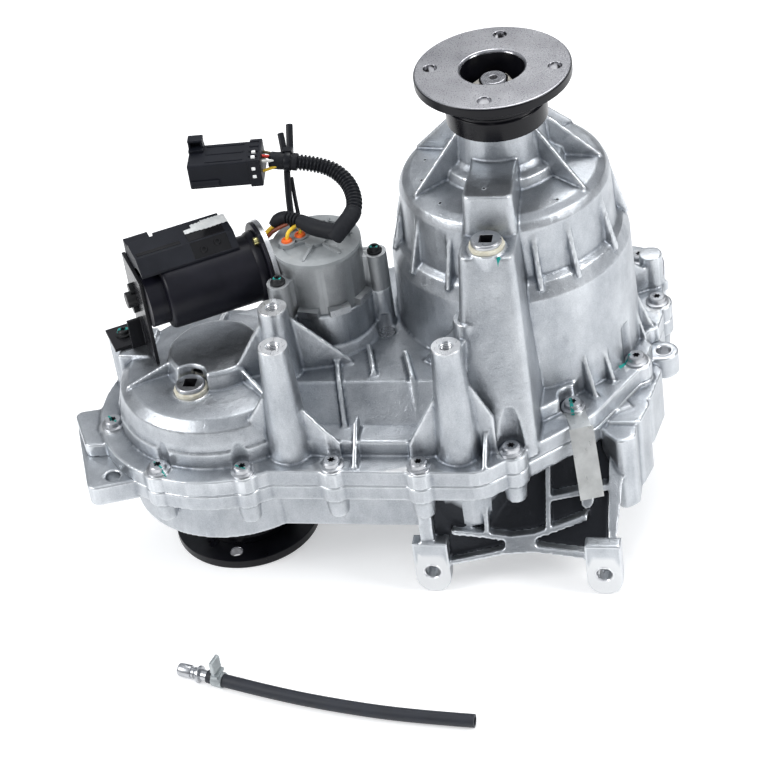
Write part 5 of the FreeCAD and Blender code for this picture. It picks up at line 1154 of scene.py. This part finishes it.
for ear_y, ear_z in ((-0.0100, 0.0296), (-0.0200, -0.0240)):
    ear = turned("flange_ear", [(0.00001, 0.0806), (0.0058, 0.0806), (0.0062, 0.0810), (0.0062, 0.0836),
                                (0.00001, 0.0836)], 32)
    settle(ear, motor_frame @ Matrix.Translation((0.0, ear_y * 1.02, ear_z * 1.02))
           @ Matrix.Rotation(math.pi / 2.0, 4, "Y"))
    ear_parts.append(ear)
ears = joined(ear_parts, "motor_flange_ears")
finish_piece(ears, motor_paint, "case", "black_paint")
bead_ring = turned("motor_bead", [(0.0262, 0.0740), (0.0272, 0.0742), (0.0284, 0.0760), (0.0290, 0.0780),
                                  (0.0290, 0.0806), (0.0262, 0.0806), (0.0262, 0.0740)], 72)
settle(bead_ring, motor_frame @ Matrix.Rotation(math.pi / 2.0, 4, "Y"))
finish_piece(bead_ring, motor_paint, "case", "black_paint")


# Motor cover
# A moulded black box clipped over the motor for its relay and leads, with a sunk grip, a smooth
# panel and a strip of white tape along its back edge.
cover_black = black_coat("cover_black", (0.006, 0.007, 0.011), 0.42, 0.56, 1100.0, 0.00006)
motor_box = eased_copy("motor_cover", "motor_cover_shell", 0.0013, 30.0, 3)
finish_piece(motor_box, cover_black, "case", "black_plastic", "motor_cover")
panel_black = black_coat("panel_black", (0.006, 0.006, 0.007), 0.12, 0.2, 300.0, 0.00002)
slope_frame = Matrix.Translation((0.0, -0.0015, 0.0325)) @ Matrix.Rotation(math.atan2(9.0, 13.0), 4, "X")
top_panel = boxed("cover_panel", (0.0300, 0.0062, 0.0362), (0.0600, 0.0180, 0.0373), 0.0003, 1)
slope_panel = boxed("slope_panel", (0.0300, -0.0070, -0.0008), (0.0600, 0.0072, 0.0003), 0.0002, 1)
settle(slope_panel, slope_frame)
smooth_panel = joined([top_panel, slope_panel], "cover_panel")
grip = boxed("cover_grip", (-0.0120, 0.0075, 0.0362), (0.0240, 0.0120, 0.0374), 0.0018, 4)
settle(grip, motor_frame)
finish_piece(grip, panel_black, "case", "black_plastic")
settle(smooth_panel, motor_frame)
finish_piece(smooth_panel, panel_black, "case", "black_plastic")
stud_parts = []
for stud_x, stud_y in ((0.0390, -0.0010), (0.0510, 0.0020)):
    stud = turned("cover_stud", [(0.0014, 0.0002), (0.0028, 0.0002), (0.0030, 0.0006), (0.0026, 0.0012),
                                 (0.0014, 0.0012), (0.0014, 0.0002)], 20)
    settle(stud, motor_frame @ slope_frame @ Matrix.Translation((stud_x, stud_y, 0.0)))
    stud_parts.append(stud)
studs = joined(stud_parts, "cover_stud_pair")
finish_piece(studs, panel_black, "case", "black_plastic")
tape_white = new_material("white_tape", (0.78, 0.79, 0.78), 0.0, 0.45)
tint(tape_white, noise(tape_white, 110.0), (0.68, 0.70, 0.70), (0.84, 0.85, 0.84))
rough(tape_white, spread(tape_white, noise(tape_white, 240.0), 0.35, 0.6))
bump(tape_white, noise(tape_white, 180.0, 4.0), 0.0003)
bpy.ops.object.select_all(action="DESELECT")
bpy.ops.mesh.primitive_grid_add(x_subdivisions=44, y_subdivisions=18, size=1.0)
tape = bpy.context.object
tape.name = "cover_tape"
for corner in tape.data.vertices:
    run = corner.co.x + 0.5
    across = corner.co.y + 0.5
    start = 0.26 if across < 0.45 else 0.40
    ragged = 0.0003 * math.sin(9.0 * run + 4.0 * across)
    along = 0.0180 + 0.0480 * (start + (1.0 - start) * run)
    over = 0.0170 + 0.0200 * across * (0.55 if run < 0.3 else 1.0) + ragged
    drop = max(0.0, over - 0.0296)
    corner.co = (along, min(over, 0.0304), 0.0376 - drop * 0.9 + 0.0003 * math.sin(61.0 * run + 29.0 * across))
wall = tape.modifiers.new("wall", "SOLIDIFY")
wall.thickness = 0.00025
pick(tape)
bpy.ops.object.modifier_apply(modifier="wall")
bpy.ops.object.shade_smooth_by_angle(angle=math.radians(40.0))
settle(tape, motor_frame)
finish_piece(tape, tape_white, "case", "grey_plastic")


# Motor bracket
# A pressed black steel bracket between the outer end of the motor and a cast boss, held by one
# black screw with a paint mark.
bracket = eased_copy("motor_bracket", "motor_bracket_sheet", 0.0007, 30.0, 3)
bracket_black = black_coat("bracket_black", (0.012, 0.012, 0.014), 0.2, 0.32, 700.0, 0.00006)
finish_piece(bracket, bracket_black, "case", "black_steel", "motor_bracket")
foot_screw = eased_copy("motor_foot_bolt", "motor_foot_screw", 0.0003)
finish_piece(foot_screw, black_bolt, "case", "black_steel", "motor_foot_bolt")
foot_x, foot_y = (motor_frame @ Vector((-0.0296, 0.0448, 0.0))).xy
strokes.append(witness_stroke("foot_stroke", (foot_x - 0.0050, foot_y - 0.0008),
                              (foot_x + 0.0050, foot_y + 0.0010), 0.0030, 0.190, (foot_screw, bracket)))
bush = turned("bracket_bush", [(0.00001, -0.0250), (0.0060, -0.0250), (0.0066, -0.0244), (0.0066, -0.0172),
                               (0.00001, -0.0172)], 40)
settle(bush, motor_frame @ Matrix.Translation((0.0, 0.0250, -0.0110)) @ Matrix.Rotation(math.pi / 2.0, 4, "Y"))
finish_piece(bush, rubber("bush_rubber", (0.012, 0.012, 0.013), 0.4), "case", "black_plastic")
marks = joined(strokes, "witness_marks")
finish_piece(marks, paint, "case", "grey_plastic")
